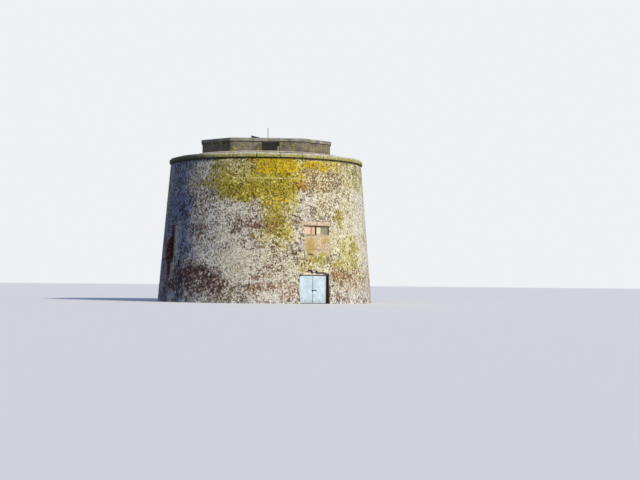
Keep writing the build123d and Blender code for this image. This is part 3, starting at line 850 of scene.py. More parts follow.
def zone_strength(azimuths, heights, zones):
    """How strongly some zones hold at places of the wall."""
    total = np.zeros(len(azimuths))
    for start, end, low, high, strength in zones:
        past_start = soft(azimuths, start - soft_degrees, start + soft_degrees)
        past_end = soft(azimuths, end - soft_degrees, end + soft_degrees)
        over_low = soft(heights, low - soft_metres, low + soft_metres)
        over_high = soft(heights, high - soft_metres, high + soft_metres)
        total += strength * np.minimum(past_start, 1 - past_end) * np.minimum(over_low, 1 - over_high)
    return total


def open_here(azimuth, z, margin):
    """Whether an opening, a lintel or a joint with one is within a margin."""
    reach = wall_radius(z)
    for level in (z - margin, z, z + margin):
        for low, high in closed_spans(level):
            if low - margin / reach < azimuth < high + margin / reach:
                return True
    return False


def fallen_faces(mesh):
    """For each face of a grid on the wall, whether the render has fallen from it."""
    centres = np.empty(len(mesh.polygons) * 3)
    mesh.polygons.foreach_get("center", centres)
    centres = centres.reshape(-1, 3)
    azimuths, heights = np.arctan2(centres[:, 0], -centres[:, 1]), centres[:, 2]
    degrees = np.degrees(azimuths)
    degrees[degrees < rear_azimuth] += 360
    holds = 0.42 * zone_strength(degrees, heights, sound_zones)
    holds = holds - 0.2 * zone_strength(degrees, heights, bare_zones)
    along_scar = (degrees > scar_azimuths[0]) & (degrees < scar_azimuths[1])
    holds += 0.35 * (along_scar & (abs(heights - scar_height) < render_cell / 2))
    fallen = []
    for centre, azimuth, hold in zip(centres, azimuths, holds):
        where = Vector(centre)
        patchy = noise.fractal(where * 0.9, 0.9, 2.0, 3) * 0.30
        patchy += noise.fractal(where * 4.0, 0.6, 2.0, 3) * 0.22
        fallen.append(bool(patchy + hold < 0.2) or open_here(azimuth, centre[2], 0.05))
    return fallen


render_cell, render_thickness, render_proud = 0.062, 0.012, 0.0105
render_foot, render_height = 0.2, top_height - 0.25
bare_spot = zone_strength(np.array([30.0]), np.array([1.6]), bare_zones)[0]
print("strength of bareness right of the doors", round(float(bare_spot), 2))

# %% [markdown]
# A fine grid is wrapped round each side of the cone, a little unevenly, and the faces where the
# render has fallen are deleted. Solidify gives the rest its thickness towards the wall, so that
# its face stays where it was. A grid that is thinned keeps a broken edge without any drawing.


# %% Patches of render
def render_patches(side, middle):
    """The render that is left on one side of the tower."""
    across, up = int(math.pi / 2 * foot_radius / render_cell), int(render_height / render_cell)
    bpy.ops.object.select_all(action="DESELECT")
    bpy.ops.mesh.primitive_grid_add(x_subdivisions=across, y_subdivisions=up, size=1.0)
    patches = bpy.context.object
    patches.name = f"render_patches_{side}"
    mesh = patches.data
    flat = np.empty(len(mesh.vertices) * 3)
    mesh.vertices.foreach_get("co", flat)
    flat = flat.reshape(-1, 3)
    azimuths = middle + flat[:, 0] * math.pi / 2 + chance.uniform(-0.0022, 0.0022, len(flat))
    heights = render_foot + (flat[:, 1] + 0.5) * render_height + chance.uniform(-0.016, 0.016, len(flat))
    reach = wall_radius(heights) + render_proud + chance.uniform(-0.0012, 0.0012, len(flat))
    wrapped = np.stack([reach * np.sin(azimuths), -reach * np.cos(azimuths), heights], 1)
    mesh.vertices.foreach_set("co", wrapped.ravel())
    for face, gone in zip(mesh.polygons, fallen_faces(mesh)):
        face.select = gone
    bpy.ops.object.mode_set(mode="EDIT")
    bpy.ops.mesh.delete(type="FACE")
    bpy.ops.object.mode_set(mode="OBJECT")
    outward = sum(1 for f in mesh.polygons if f.normal.dot(Vector((f.center.x, f.center.y, 0))) > 0)
    if outward < len(mesh.polygons) / 2:
        mesh.flip_normals()
    thickness = patches.modifiers.new("thickness", "SOLIDIFY")
    thickness.thickness, thickness.offset = render_thickness, -1.0
    thickness.use_even_offset = False
    bpy.ops.object.modifier_apply(modifier="thickness")
    mesh.materials.append(render_finish)
    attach(patches, "tower")
    print(patches.name, "faces", len(mesh.polygons))


bpy.context.tool_settings.mesh_select_mode = (False, False, True)
for number, side in enumerate(sides):
    render_patches(side, number * math.pi / 2)

# %% [markdown]
# The breach shows the wall's core: brick on brick, some pulled out, and a toothed edge where
# every other course is bonded into the next. The same brick is laid there with a darker
# finish, a tone for each brick again, dust on top, and painted shade where the hole is
# deepest.

# %% The core's finish
core_finish, tree, shader = material("broken_brick", 0.95)
place = surface_place(tree)
tone = add(tree, "Attribute", attribute_name="brick_tone").outputs["Fac"]
stops = add(tree, "ValToRGB", {0: tone})
ends = stops.color_ramp.elements
ends[0].color, ends[1].color = tint(40, 28, 30), tint(214, 156, 138)
dust = speckle(tree, place, 12.0, 4.0, 0.7, 0.56, 0.7)
colour = mix(tree, dust, stops.outputs[0], tint(146, 130, 108))
reach = from_axis(tree, place)
# Painted shade deep in the hole, where little light reaches.
painted_deep_shade = times(tree, step(tree, reach, 6.4, 6.15), step(tree, reach, 5.5, 5.6))
paint(tree, shader, over(tree, painted_deep_shade, 0.8, colour, tint(26, 20, 24)))
bump(tree, shader, grain(tree, place, 28.0, 4.0, 0.7), 0.8, 0.012)
one_brick.data.materials[0] = core_finish
print("core nodes", len(tree.nodes))

# %% [markdown]
# The back of the hole is a row of headers in each course, some of them further out. Its two
# cheeks are stretchers seen from the side, painted lighter towards the outside as the light
# that reaches into the hole, and every other course ends in a broken brick at the face.

# %% Broken brickwork in the breach
outward = np.array([math.sin(breach_azimuth), -math.cos(breach_azimuth)])
along = np.array([math.cos(breach_azimuth), math.sin(breach_azimuth)])
breach_low, breach_high, breach_middle = 1.2, 5.0, 3.55
breach_depth, breach_taper = 0.62, math.tan(math.radians(6.0))
back_depth = wall_radius(breach_middle) - breach_depth
core_height, narrowest_row = course - 0.012, 0.25


def core_row(at, depth, z, turn, size, tone, tilt=0.0):
    """A brick of the core, at a distance along the wall and from the axis."""
    x, y = outward * depth + along * at
    return (x, y, z, tilt, 0.0, turn, *size, float(tone + 0.3 * chance.random()))


def breach_course(number):
    """The bricks that one course shows in the breach."""
    z = (number + 0.5) * course
    holes = crossings(breach_outline, z)
    if not holes or holes[0][1] - holes[0][0] < narrowest_row:
        return []
    hole = holes[0]
    narrowing = breach_taper * (foot_radius - back_depth)
    left, right = hole[0] + narrowing - 0.02, hole[1] - narrowing + 0.02
    bricks = []
    for at in np.arange(left + 0.06 * (number % 2), right, header):
        out = 0.06 * chance.random() ** 2
        size = (0.1, 0.14, core_height)
        turned = breach_azimuth + chance.normal() * 0.03
        bricks.append(core_row(at, back_depth + out - 0.065, z, turned, size, 0.05))
    face = wall_radius(z)
    for edge, facing in ((hole[0], 1), (hole[1], -1)):
        for depth in np.arange(back_depth + 0.1, face - 0.08, 0.2):
            slope = breach_taper * (foot_radius - depth)
            out = 0.03 * chance.random() ** 2 - 0.005 + 0.05 * (number % 2)
            at = edge + facing * (slope + out - 0.055)
            size = (0.19, 0.12, core_height)
            turned = breach_azimuth + facing * math.pi / 2
            # Painted light: cheek bricks get lighter towards the face, where more light reaches.
            lit = (depth - back_depth) / (face - back_depth)
            lit *= 0.2 + 0.6 * (chance.random() < 0.5)
            bricks.append(core_row(at, depth, z, turned, size, lit, chance.normal() * 0.02))
        if number % 2:
            slope = breach_taper * (foot_radius - face)
            at = edge + facing * (slope + 0.03 * chance.random())
            size = (0.15 + 0.05 * chance.random(), 0.1, course - 0.011)
            bricks.append(core_row(at, face - 0.051, z, breach_azimuth, size, 0.5))
    return bricks


core = []
for number in range(int(breach_low / course), int(breach_high / course)):
    core += breach_course(number)
print("breach bricks", len(core))

# %% [markdown]
# Over the doorway the outer skin has come away up to a ragged edge, and the ends of three
# courses show behind it, just before the lintel.

# %% Broken brickwork over the doorway
lintel_face = -6.5295
for number in range(26, 29):
    z = (number + 0.5) * course
    for left, right in crossings(break_outline, z):
        for at in np.arange(left + 0.05, right, header):
            deep = lintel_face + 0.03 - 0.05 * chance.random()
            turned, size = chance.normal() * 0.04, (0.1, 0.1, core_height)
            core.append((at, deep, z, 0.0, 0.0, turned, *size, float(chance.random())))
lay("broken_brickwork", core, laying)
print("core bricks", len(core))

# %% [markdown]
# The coping is 27 dressed stones, now rounded and pitted. Each stone is taken from the CAD
# node as a copy, remeshed so that its edges soften, pushed in and out a little by clouds, and
# joined again. The copy stands for its CAD node. Modelling the wear by hand would take longer
# and would look the same on every stone.


# %% Tools for worn stone
def pick(*pieces):
    """Selects some pieces and nothing else."""
    bpy.ops.object.select_all(action="DESELECT")
    for piece in pieces:
        piece.select_set(True)
    bpy.context.view_layer.objects.active = pieces[0]


def joined(pieces, name, finish):
    """Several pieces made one, with a finish."""
    pick(*pieces)
    if len(pieces) > 1:
        bpy.ops.object.join()
    whole = bpy.context.view_layer.objects.active
    whole.name = name
    whole.data.materials.clear()
    whole.data.materials.append(finish)
    return whole


def wear_down(stone, cell, wear, clouds):
    """Softens a stone's edges and pushes its faces in and out."""
    pick(stone)
    remesh = stone.modifiers.new("remesh", "REMESH")
    remesh.mode, remesh.voxel_size = "VOXEL", cell
    smooth = stone.modifiers.new("smooth", "SMOOTH")
    smooth.factor, smooth.iterations = 0.5, 2
    push = stone.modifiers.new("push", "DISPLACE")
    push.texture, push.texture_coords = clouds, "GLOBAL"
    push.strength, push.mid_level = wear, 0.6
    for modifier in [m.name for m in stone.modifiers]:
        bpy.ops.object.modifier_apply(modifier=modifier)


def worn_copy(node, name, cell, wear, cloud_size, finish, body="tower"):
    """A CAD node's solids with worn faces and edges, in the node's place."""
    copy = bpy.data.objects.new(name, nodes[node].data.copy())
    bpy.context.scene.collection.objects.link(copy)
    pick(copy)
    bpy.ops.object.mode_set(mode="EDIT")
    bpy.ops.mesh.select_all(action="SELECT")
    bpy.ops.mesh.remove_doubles(threshold=0.00005)
    bpy.ops.mesh.separate(type="LOOSE")
    bpy.ops.object.mode_set(mode="OBJECT")
    stones = list(bpy.context.selected_objects)
    clouds = bpy.data.textures.new(name + "_wear", "CLOUDS")
    clouds.noise_scale, clouds.noise_depth = cloud_size, 3
    for stone in stones:
        wear_down(stone, cell, wear, clouds)
    worn = joined(stones, name, finish)
    for face in worn.data.polygons:
        face.use_smooth = True
    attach(worn, body)
    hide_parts(node)
    print(name, "faces", len(worn.data.polygons))


print("coping's front half before wear:", len(nodes["coping_front"].data.polygons), "faces")

# %% [markdown]
# Coping and lintels share one stone: two tones in large clouds, dark spots, and crusts of
# olive lichen. The lichen is written as a function of its own, because the concrete of the
# roof house carries it too.


# %% Weathered stone
olive = (tint(104, 98, 30), tint(200, 188, 76))


def with_crust(tree, place, colour, scale, start, fine, strength):
    """A colour under crusts of olive lichen, which have light and dark flecks."""
    crust = speckle(tree, place, scale, 6.0, 0.78, start, start + 0.1)
    shade = speckle(tree, place, fine, 3.0, 0.7, 0.38, 0.62)
    return over(tree, crust, strength, colour, mix(tree, shade, *olive))


def stone_colour(tree, place, low, high, spots, crust_from):
    """Weathered stone's colour: two tones, dark spots and lichen."""
    colour = mix(tree, speckle(tree, place, 4.0, 6.0, 0.75, 0.36, 0.64), low, high)
    colour = mix(tree, speckle(tree, place, 13.0, 4.0, 0.75, 0.55, 0.66), colour, spots)
    return with_crust(tree, place, colour, 2.6, crust_from, 16.0, 0.85)


def lintel_stone(name, low, high, spots, crust_from):
    """A lintel's finish, with fine relief."""
    made, tree, shader = material(name, 0.93)
    place = surface_place(tree)
    paint(tree, shader, stone_colour(tree, place, low, high, spots, crust_from))
    bump(tree, shader, grain(tree, place, 26.0, 5.0, 0.7), 0.7, 0.01)
    return made


sandy_stone = lintel_stone(
    "lintel_stone", tint(182, 160, 130), tint(236, 216, 184), tint(128, 104, 80), 0.6
)
# The doorway lintel's stone is near-white and warm: painted light, standing for the sun that the broken
# skin above keeps off it.
sunlit_pale_stone = lintel_stone(
    "sunlit_pale_lintel", tint(246, 224, 196), tint(255, 248, 228), tint(206, 150, 118), 0.8
)
print("stones ready:", sandy_stone.name, "and", sunlit_pale_stone.name)

# %% [markdown]
# The coping is bleached along its top, painted dark along its foot as the shade under its
# overhang, and painted dark grey on its left side as the shade away from the sun. The height
# at which the bleached part begins has a little noise added, because a straight border would
# look painted.

# %% The coping's stone
coping_finish, tree, shader = material("coping_stone", 0.93)
place = surface_place(tree)
across, deep, up = split(tree, place)
stone_tones = (tint(150, 144, 108), tint(204, 196, 152), tint(86, 80, 56))
colour = stone_colour(tree, place, *stone_tones, 0.44)
worn_top = speckle(tree, place, 6.0, 5.0, 0.75, 0.36, 0.62)
worn_top = mix(tree, worn_top, tint(150, 148, 132), tint(216, 210, 194))
ragged = scaled(tree, grain(tree, place, 5.0, 4.0, 0.7), 0.1, up)
colour = over(tree, step(tree, ragged, 9.055, 9.1), 0.85, colour, worn_top)
# Painted shade along the coping's lower edge, under its overhang.
colour = over(tree, step(tree, up, 8.87, 8.83), 0.7, colour, tint(58, 54, 36))
round_at = sums(tree, "ARCTAN2", across, times(tree, deep, -1.0))
# Painted shade on the coping's left end, which the sun doesn't reach.
painted_left_shade = times(tree, step(tree, round_at, -0.95, -1.3), step(tree, round_at, -2.8, -2.5))
paint(tree, shader, over(tree, painted_left_shade, 0.82, colour, tint(52, 58, 58)))
bump(tree, shader, grain(tree, place, 26.0, 5.0, 0.7), 0.7, 0.01)
print("coping nodes", len(tree.nodes))

# %% [markdown]
# The coping's stones are remeshed with cells of about 4 cm, fine enough for rounded edges, and
# the smaller lintels with 3 cm. The faces move by 3 cm at most, in clouds about as large as a
# hand, so that no stone looks melted.

# %% Coping and lintels
coping_cell, lintel_cell = 0.044, 0.03
for node in ("coping_front", "coping_rear"):
    worn_copy(node, node + "_worn", coping_cell, 0.03, 0.25, coping_finish)
worn_copy("entrance_lintel", "entrance_lintel_worn", lintel_cell, 0.03, 0.15, sandy_stone)
worn_copy("doorway_lintel", "doorway_lintel_worn", lintel_cell, 0.035, 0.12, sunlit_pale_stone)

# %% [markdown]
# The roof house is board-marked concrete: each board of the old shuttering left a faint ridge,
# and rain has drawn dark runs from the slab down. The slab's edge and top carry more lichen.
# Inside, the walls and the slab's underside are painted near-white as painted light, standing
# for the daylight that fills the house, so that the embrasures don't look black. The house
# stands square to this camera, so its inside is told by a square turned with the view.


# %% Concrete of the roof house
def house_inside(tree, place):
    """1 inside the house, which is a square with cut corners, and 0 elsewhere."""
    level = add(tree, "VectorMath", {0: place, 1: (1, 1, 0)}, operation="MULTIPLY").outputs[0]
    turned = add(tree, "VectorRotate", {"Vector": level, "Angle": -house_turn}, rotation_type="Z_AXIS")
    width, depth, _ = split(tree, turned.outputs[0])
    width, depth = sums(tree, "ABSOLUTE", width), sums(tree, "ABSOLUTE", depth)
    walls = step(tree, sums(tree, "MAXIMUM", width, depth), house_inner + 0.01, house_inner)
    corners = step(tree, sums(tree, "ADD", width, depth), house_corner + 0.06, house_corner)
    ceiling = step(tree, split(tree, place)[2], slab_under + 0.02, slab_under + 0.01)
    return times(tree, times(tree, walls, corners), ceiling)


def concrete(name, low, high, crust_from, boards):
    """Board-marked concrete, painted near-white on the inside of the house as painted light."""
    made, tree, shader = material(name, 0.92)
    place = surface_place(tree)
    colour = mix(tree, speckle(tree, place, 2.2, 6.0, 0.7, 0.34, 0.66), low, high)
    runs = speckle(tree, stretched(tree, place, 3.0, 0.35), 1.6, 4.0, 0.65, 0.5, 0.72)
    colour = over(tree, runs, 0.6, colour, tint(70, 68, 60))
    colour = with_crust(tree, place, colour, 3.0, crust_from, 14.0, 0.8)
    # Painted light: the inside of the house is made near-white to stand for the daylight in it.
    painted_light_white = mix(tree, grain(tree, place, 3.0, 4.0, 0.6), tint(206, 212, 214), tint(244, 248, 250))
    paint(tree, shader, over(tree, house_inside(tree, place), 0.95, colour, painted_light_white))
    ridge = step(tree, sums(tree, "PINGPONG", split(tree, place)[2], boards), 0.0, 0.006)
    bump(tree, shader, scaled(tree, grain(tree, place, 20.0, 5.0, 0.7), 0.5, ridge), 0.7, 0.008)
    return made


house_turn, house_inner, house_corner = math.radians(view_azimuth), 3.79, 6.0
house_finish = concrete("house_concrete", tint(88, 80, 68), tint(132, 124, 108), 0.53, 0.11)
dress(house_finish, *[name for name in nodes if name.startswith("house_")])
slab_finish = concrete("slab_concrete", tint(112, 110, 100), tint(164, 160, 146), 0.54, 0.095)
dress(slab_finish, "roof_slab", "embrasure_stub")
print("house whitened under", round(slab_under, 2), "m")

# %% [markdown]
# Inside, the pillar and the vault are brick under many coats of limewash, with the joints of
# the round room's brickwork showing through and bare brick where the wash has gone.

# %% Limewash
limewash_finish, tree, shader = material("limewash", 0.95)
place = surface_place(tree)
wash = speckle(tree, place, 2.0, 6.0, 0.7, 0.35, 0.65)
wash = mix(tree, wash, tint(186, 180, 162), tint(226, 221, 204))
gone = speckle(tree, place, 3.0, 6.0, 0.75, 0.6, 0.68)
wash = over(tree, gone, 0.7, wash, tint(150, 112, 88))
joints = room_joints(tree, place, 0.4)
paint(tree, shader, over(tree, joints, 0.4, wash, tint(140, 130, 112)))
bump(tree, shader, scaled(tree, joints, -1.0, grain(tree, place, 30.0, 4.0, 0.6)), 0.6, 0.008)
vaulting = [name for name in nodes if name.startswith(("ring_vault", "vault_mass"))]
dress(limewash_finish, "central_pillar", *vaulting)
print("limewashed nodes", 1 + len(vaulting))

# %% [markdown]
# The ground floor and the gun platform are laid with stone flags in rows of 0.6 m. Those on
# the platform are paler, washed by rain, and painted paler still as painted light for the dim
# inside of the house.


# %% Stone flags
def flagstones(name, dark, pale, mortar, dusty, dust_tone):
    """Stone flags of two tones with wide joints and dust over them."""
    made, tree, shader = material(name, 0.85)
    place = surface_place(tree)
    inputs = {"Vector": place, "Scale": 1.0, "Color1": dark, "Color2": pale, "Mortar": mortar}
    inputs |= {"Mortar Size": 0.012, "Brick Width": 0.9, "Row Height": 0.6}
    flags = add(tree, "TexBrick", inputs)
    dust = speckle(tree, place, 4.0, 6.0, 0.7, 0.48, 0.7)
    paint(tree, shader, over(tree, dust, dusty, flags.outputs["Color"], dust_tone))
    relief = scaled(tree, flags.outputs["Fac"], -1.0, grain(tree, place, 16.0, 4.0, 0.6))
    bump(tree, shader, relief, 0.6, 0.01)
    return made


worn_tones = (tint(112, 108, 98), tint(144, 138, 124), tint(62, 58, 50))
dress(flagstones("stone_flags", *worn_tones, 0.6, tint(96, 92, 66)), "ground_floor")
# Paler flags: washed by rain, and painted light for the inside of the house.
washed_and_lit_tones = (tint(196, 190, 174), tint(216, 210, 196), tint(150, 144, 130))
dress(flagstones("pale_flags", *washed_and_lit_tones, 0.5, tint(176, 168, 146)), "gun_platform")
print("flags ready for two floors")

# %% [markdown]
# The upper floor is boards on oak joists, and the entrance has a timber frame whose middle
# post is darker than the rest. One finish does for all three: grain along the wood, and a
# dark gap at each board's edge.


# %% Timber
def timber(name, low, high, board, along, post=None):
    """Boards with grain along one axis, a dark gap between them, and perhaps a dark post."""
    made, tree, shader = material(name, 0.8)
    place = surface_place(tree)
    scale = [34.0, 34.0, 34.0]
    scale[along] = 2.5
    fibre = add(tree, "Mapping", {"Vector": place, "Scale": scale}).outputs[0]
    fibre = speckle(tree, fibre, 1.0, 5.0, 0.65, 0.35, 0.65)
    cloudy = speckle(tree, place, 3.0, 4.0, 0.6, 0.45, 0.7)
    colour = over(tree, cloudy, 0.45, mix(tree, fibre, low, high), tint(92, 80, 66))
    across, deep, _ = split(tree, place)
    gap = step(tree, sums(tree, "PINGPONG", across if along else deep, board / 2), 0.002, 0.006)
    colour = mix(tree, gap, tint(40, 34, 28), colour)
    if post:
        dark = step(tree, sums(tree, "ABSOLUTE", across), post + 0.004, post)
        colour = mix(tree, dark, colour, tint(84, 60, 44))
    paint(tree, shader, colour)
    bump(tree, shader, scaled(tree, fibre, 0.3, gap), 0.5, 0.006)
    return made


board_width, no_gaps = 0.18, 4.0
floor_oak = timber("floor_boards", tint(96, 78, 58), tint(150, 126, 98), board_width, 1)
dress(floor_oak, "first_floor_boards")
joist_oak = timber("joist_oak", tint(78, 62, 48), tint(124, 102, 80), no_gaps, 1)
dress(joist_oak, "first_floor_joists")
frame_wood = timber("frame_timber", tint(150, 130, 104), tint(206, 188, 160), no_gaps, 0, 0.062)
dress(frame_wood, "entrance_frame")
print("floor boards every", board_width, "m")

# %% [markdown]
# The first-floor entrance was walled up below and boarded above: upright planks of uneven
# thickness, nailed side by side in two lights, and narrow slats in the third. A plank or a
# slat is a block with bevelled edges, set between two corners that the CAD frame gives.


# %% Planks and slats as blocks
def bevelled_block(name, low, high, edge):
    """A block between two corners with bevelled edges."""
    bpy.ops.object.select_all(action="DESELECT")
    middle = [(a + b) / 2 for a, b in zip(low, high)]
    bpy.ops.mesh.primitive_cube_add(size=1.0, location=middle)
    made = bpy.context.object
    made.name = name
    made.scale = [b - a for a, b in zip(low, high)]
    bpy.ops.object.transform_apply(location=True, rotation=True, scale=True)
    bpy.ops.object.mode_set(mode="EDIT")
    bpy.ops.mesh.select_all(action="SELECT")
    bpy.ops.mesh.bevel(offset=edge, segments=2, affect="EDGES")
    bpy.ops.object.mode_set(mode="OBJECT")
    return made


frame_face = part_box("entrance_frame")[0].y
boards_low, boards_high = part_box("entrance_boards")
light_low, light_high = boards_low.z + 0.001, boards_high.z - 0.001
wood_edge = 0.002
print("lights from", round(light_low, 3), "to", round(light_high, 3), "m")

# %% [markdown]
# The planks are pink in the first light and cream in the second, rotten where water stands on
# them, and dull towards the vent. The grain runs upwards.

# %% Plank finish
plank_finish, tree, shader = material("pale_planks", 0.75)
place = surface_place(tree)
across = split(tree, place)[0]
fibre = speckle(tree, stretched(tree, place, 60.0, 4.0), 1.0, 5.0, 0.7, 0.35, 0.62)
pink = mix(tree, fibre, tint(206, 170, 138), tint(242, 214, 186))
cream = mix(tree, fibre, tint(212, 200, 164), tint(246, 236, 204))
colour = mix(tree, step(tree, across, -0.02, 0.0), pink, cream)
rot = step(tree, away(tree, across, -0.33), 0.22, 0.05)
rot = scaled(tree, rot, 0.2, grain(tree, stretched(tree, place, 5.0, 1.6), 1.0, 4.0, 0.7))
colour = over(tree, step(tree, rot, 0.6, 0.72), 0.75, colour, tint(156, 112, 78))
dull = mix(tree, fibre, tint(118, 108, 82), tint(168, 158, 128))
colour = over(tree, step(tree, across, 0.24, 0.42), 0.8, colour, dull)
paint(tree, shader, colour)
bump(tree, shader, fibre, 0.4, 0.003)
print("plank finish nodes", len(tree.nodes))

# %% [markdown]
# Planks of about 11 cm fill the two lights, 3 mm apart, each one's face set back by up to
# 7 mm, as boards of uneven thickness are. They stand for the plain boards of the CAD model.

# %% Planks in two lights
plank_width, plank_gap = 0.11, 0.003
left_light = (boards_low.x, boards_low.x + 0.767)
middle_light = (boards_high.x - 0.333, boards_high.x)
planks = []
for start, end in (left_light, middle_light):
    count = round((end - start) / plank_width)
    width = (end - start) / count
    for number in range(count):
        face_at = boards_low.y + chance.uniform(0.0, 0.007)
        low = (start + number * width + plank_gap / 2, face_at, light_low)
        high = (start + (number + 1) * width - plank_gap / 2, boards_high.y, light_high)
        planks.append(bevelled_block(f"plank_{len(planks)}", low, high, wood_edge))
boarding = joined(planks, "entrance_planks", plank_finish)
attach(boarding, "tower")
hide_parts("entrance_boards")
print("planks", len(planks))

# %% [markdown]
# The last light is a vent: nine upright slats with open gaps between them, a few centimetres
# behind the frame's face and let about 1 cm into the frame above and below.

# %% Slats in the vent
slat_face, slat_back = frame_face + 0.045, frame_face + 0.063
vent_start, vent_end = boards_high.x, 0.833
slat_count, slat_share = 9, 0.78
pitch = (vent_end - vent_start) / slat_count
slats = []
for number in range(slat_count):
    start = vent_start + number * pitch + 0.004
    low = (start, slat_face + chance.uniform(0.0, 0.006), light_low - 0.012)
    high = (start + pitch * slat_share, slat_back, light_high + 0.012)
    slats.append(bevelled_block(f"slat_{number}", low, high, wood_edge))
louvre = joined(slats, "vent_slats", plank_finish)
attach(louvre, "tower")
print("slats", len(slats), "vent from", round(vent_start, 3))

# %% [markdown]
# The walled-up part is block and render, flush with the wall. It is tan, with olive patches at
# its left and upper right, a yellow-green tuft of lichen and a painted shadow at its foot, and
# one joint of the blocks shows as a pair of faint lines.


# %% The walled-up part
def stain_at(tree, place, across, up, reach_across, reach_up):
    """A ragged patch round a point of the face, strongest in its middle."""
    x, _, z = split(tree, place)
    x = sums(tree, "DIVIDE", sums(tree, "SUBTRACT", x, across), reach_across)
    z = sums(tree, "DIVIDE", sums(tree, "SUBTRACT", z, up), reach_up)
    far_off = sums(tree, "SQRT", scaled(tree, x, x, times(tree, z, z)))
    ragged = grain(tree, place, 6.0, 5.0, 0.75)
    return step(tree, scaled(tree, ragged, -1.6, far_off), 0.45, -0.15)


infill_finish, tree, shader = material("blocking_render", 0.93)
place = surface_place(tree)
fleck = speckle(tree, place, 14.0, 3.0, 0.7, 0.38, 0.62)
green_face = mix(tree, fleck, tint(116, 108, 8), tint(190, 176, 40))
olive_face = mix(tree, fleck, tint(146, 122, 44), tint(204, 178, 84))
tan_face = speckle(tree, place, 7.0, 6.0, 0.78, 0.36, 0.64)
colour = mix(tree, tan_face, tint(172, 148, 112), tint(222, 202, 166))
olive_left = stain_at(tree, place, -0.48, 3.5, 0.36, 0.5)
olive_right = stain_at(tree, place, 0.62, 3.82, 0.26, 0.18)
colour = over(tree, sums(tree, "MAXIMUM", olive_left, olive_right), 0.7, colour, olive_face)
colour = over(tree, stain_at(tree, place, 0.4, 2.98, 0.26, 0.12), 0.75, colour, green_face)
# A painted shadow at the foot of the walled-up part.
colour = over(tree, stain_at(tree, place, -0.5, 2.95, 0.2, 0.09), 0.8, colour, tint(52, 46, 10))
grey = stain_at(tree, place, -0.45, 4.16, 0.35, 0.08)
colour = over(tree, grey, 0.6, colour, tint(110, 114, 88))
across, _, up = split(tree, place)
pair = step(tree, away(tree, away(tree, up, 3.29), 0.03), 0.016, 0.008)
pair = times(tree, pair, step(tree, away(tree, across, 0.12), 0.7, 0.6))
paint(tree, shader, over(tree, pair, 0.55, colour, tint(112, 80, 54)))
relief = scaled(tree, pair, -0.5, grain(tree, place, 24.0, 5.0, 0.7))
bump(tree, shader, relief, 0.8, 0.012)
dress(infill_finish, "entrance_infill")
print("walled-up part nodes", len(tree.nodes))

# %% [markdown]
# The doors are sheet steel in old pale blue paint. The paint is chalky, dirty near the ground,
# dark along the seam between the leaves with dirt and painted shade of the gap, and has come off
# in rusty spots.

# %% Door paint
door_paint, tree, shader = material("door_paint", 0.55, 0.0, 0.4)
place = surface_place(tree)
across, _, up = split(tree, place)
seam_at = -0.268
chalky = speckle(tree, place, 2.5, 6.0, 0.7, 0.35, 0.65)
colour = mix(tree, chalky, tint(184, 205, 214), tint(212, 229, 236))
dirt = scaled(tree, step(tree, up, 0.5, 0.0), 0.22, grain(tree, place, 8.0, 5.0, 0.7))
colour = over(tree, step(tree, dirt, 0.54, 0.74), 0.6, colour, tint(146, 152, 146))
runs = speckle(tree, stretched(tree, place, 7.0, 1.2), 1.0, 5.0, 0.7, 0.56, 0.7)
colour = over(tree, runs, 0.3, colour, tint(160, 166, 166))
# A dark line along the seam: dirt and painted shade of the gap between the leaves.
seam = scaled(tree, grain(tree, place, 9.0, 4.0, 0.7), 0.03, away(tree, across, seam_at))
colour = over(tree, step(tree, seam, 0.045, 0.03), 0.85, colour, tint(66, 72, 80))
spots = speckle(tree, place, 22.0, 5.0, 0.75, 0.66, 0.71)
paint(tree, shader, mix(tree, spots, colour, tint(128, 80, 56)))
tree.links.new(step(tree, spots, 0.0, 1.0, 0.5, 0.85), shader.inputs["Roughness"])
bump(tree, shader, scaled(tree, spots, -0.6, grain(tree, place, 30.0, 3.0, 0.6)), 0.25, 0.003)
dress(door_paint, "left_door", "right_door")
print("door paint nodes", len(tree.nodes))

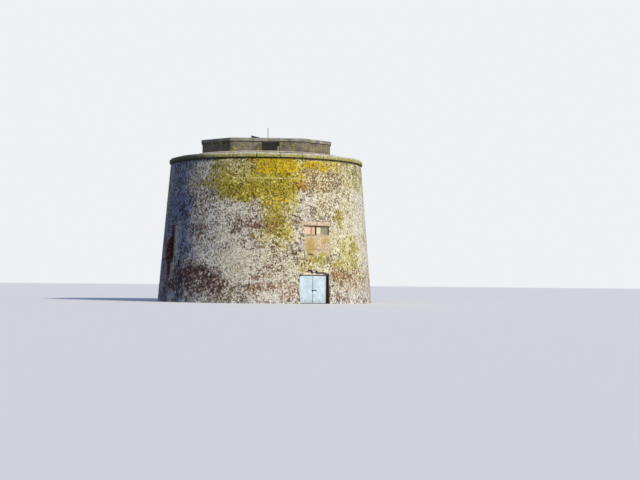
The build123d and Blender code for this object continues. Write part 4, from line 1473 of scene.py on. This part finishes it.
# %% [markdown]
# The door frame's paint has flaked down to rust. The bolt and its keep are bare rusty iron,
# the pole is tarred, and the sheet on the roof is old zinc-coated iron. The metals are alike: a
# plain tone, patches of a worn one, and fine pits. So one function takes the patches and the
# pits as the numbers of their clouds.


# %% Frame paint and old metal
def old_metal(name, roughness, metallic, patches, plain, worn, pits, relief):
    """Metal with worn patches and fine pits."""
    made, tree, shader = material(name, roughness, metallic)
    place = surface_place(tree)
    paint(tree, shader, mix(tree, speckle(tree, place, *patches), plain, worn))
    bump(tree, shader, grain(tree, place, *pits), *relief)
    return made


frame_paint, tree, shader = material("frame_paint", 0.6, 0.0, 0.4)
flaking = speckle(tree, surface_place(tree), 12.0, 6.0, 0.75, 0.5, 0.58)
paint(tree, shader, mix(tree, flaking, tint(72, 70, 68), tint(96, 70, 54)))
bump(tree, shader, flaking, 0.3, 0.002)
dress(frame_paint, "door_frame")
rust = (40.0, 5.0, 0.7, 0.4, 0.62)
rust_tones = (tint(60, 58, 62), tint(116, 90, 74))
rusty_iron = old_metal("rusty_iron", 0.85, 0.25, rust, *rust_tones, (120.0, 3.0, 0.6), (0.5, 0.002))
dress(rusty_iron, "slide_bolt", "bolt_keep")
tar = (30.0, 4.0, 0.7, 0.5, 0.66)
tar_tones = (tint(34, 32, 32), tint(74, 56, 46))
tarred_steel = old_metal("tarred_steel", 0.8, 0.1, tar, *tar_tones, (90.0, 3.0, 0.6), (0.4, 0.002))
dress(tarred_steel, "roof_pole")
bloom = (9.0, 5.0, 0.7, 0.4, 0.66)
bloom_tones = (tint(58, 56, 54), tint(110, 100, 88))
old_sheet = old_metal("roofing_sheet", 0.7, 0.3, bloom, *bloom_tones, (40.0, 4.0, 0.6), (0.4, 0.003))
dress(old_sheet, "roof_sheet")
unfinished = [n for n, o in nodes.items() if not o.data.materials or not o.data.materials[0].use_nodes]
print("nodes without a finish", unfinished)

# %% [markdown]
# The pattern brick is taken away, because it isn't part of the tower.

# %% The size and the end
bpy.data.objects.remove(one_brick)
low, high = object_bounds()
print("box with the dressing", [round(v, 2) for v in (*low, *high)])
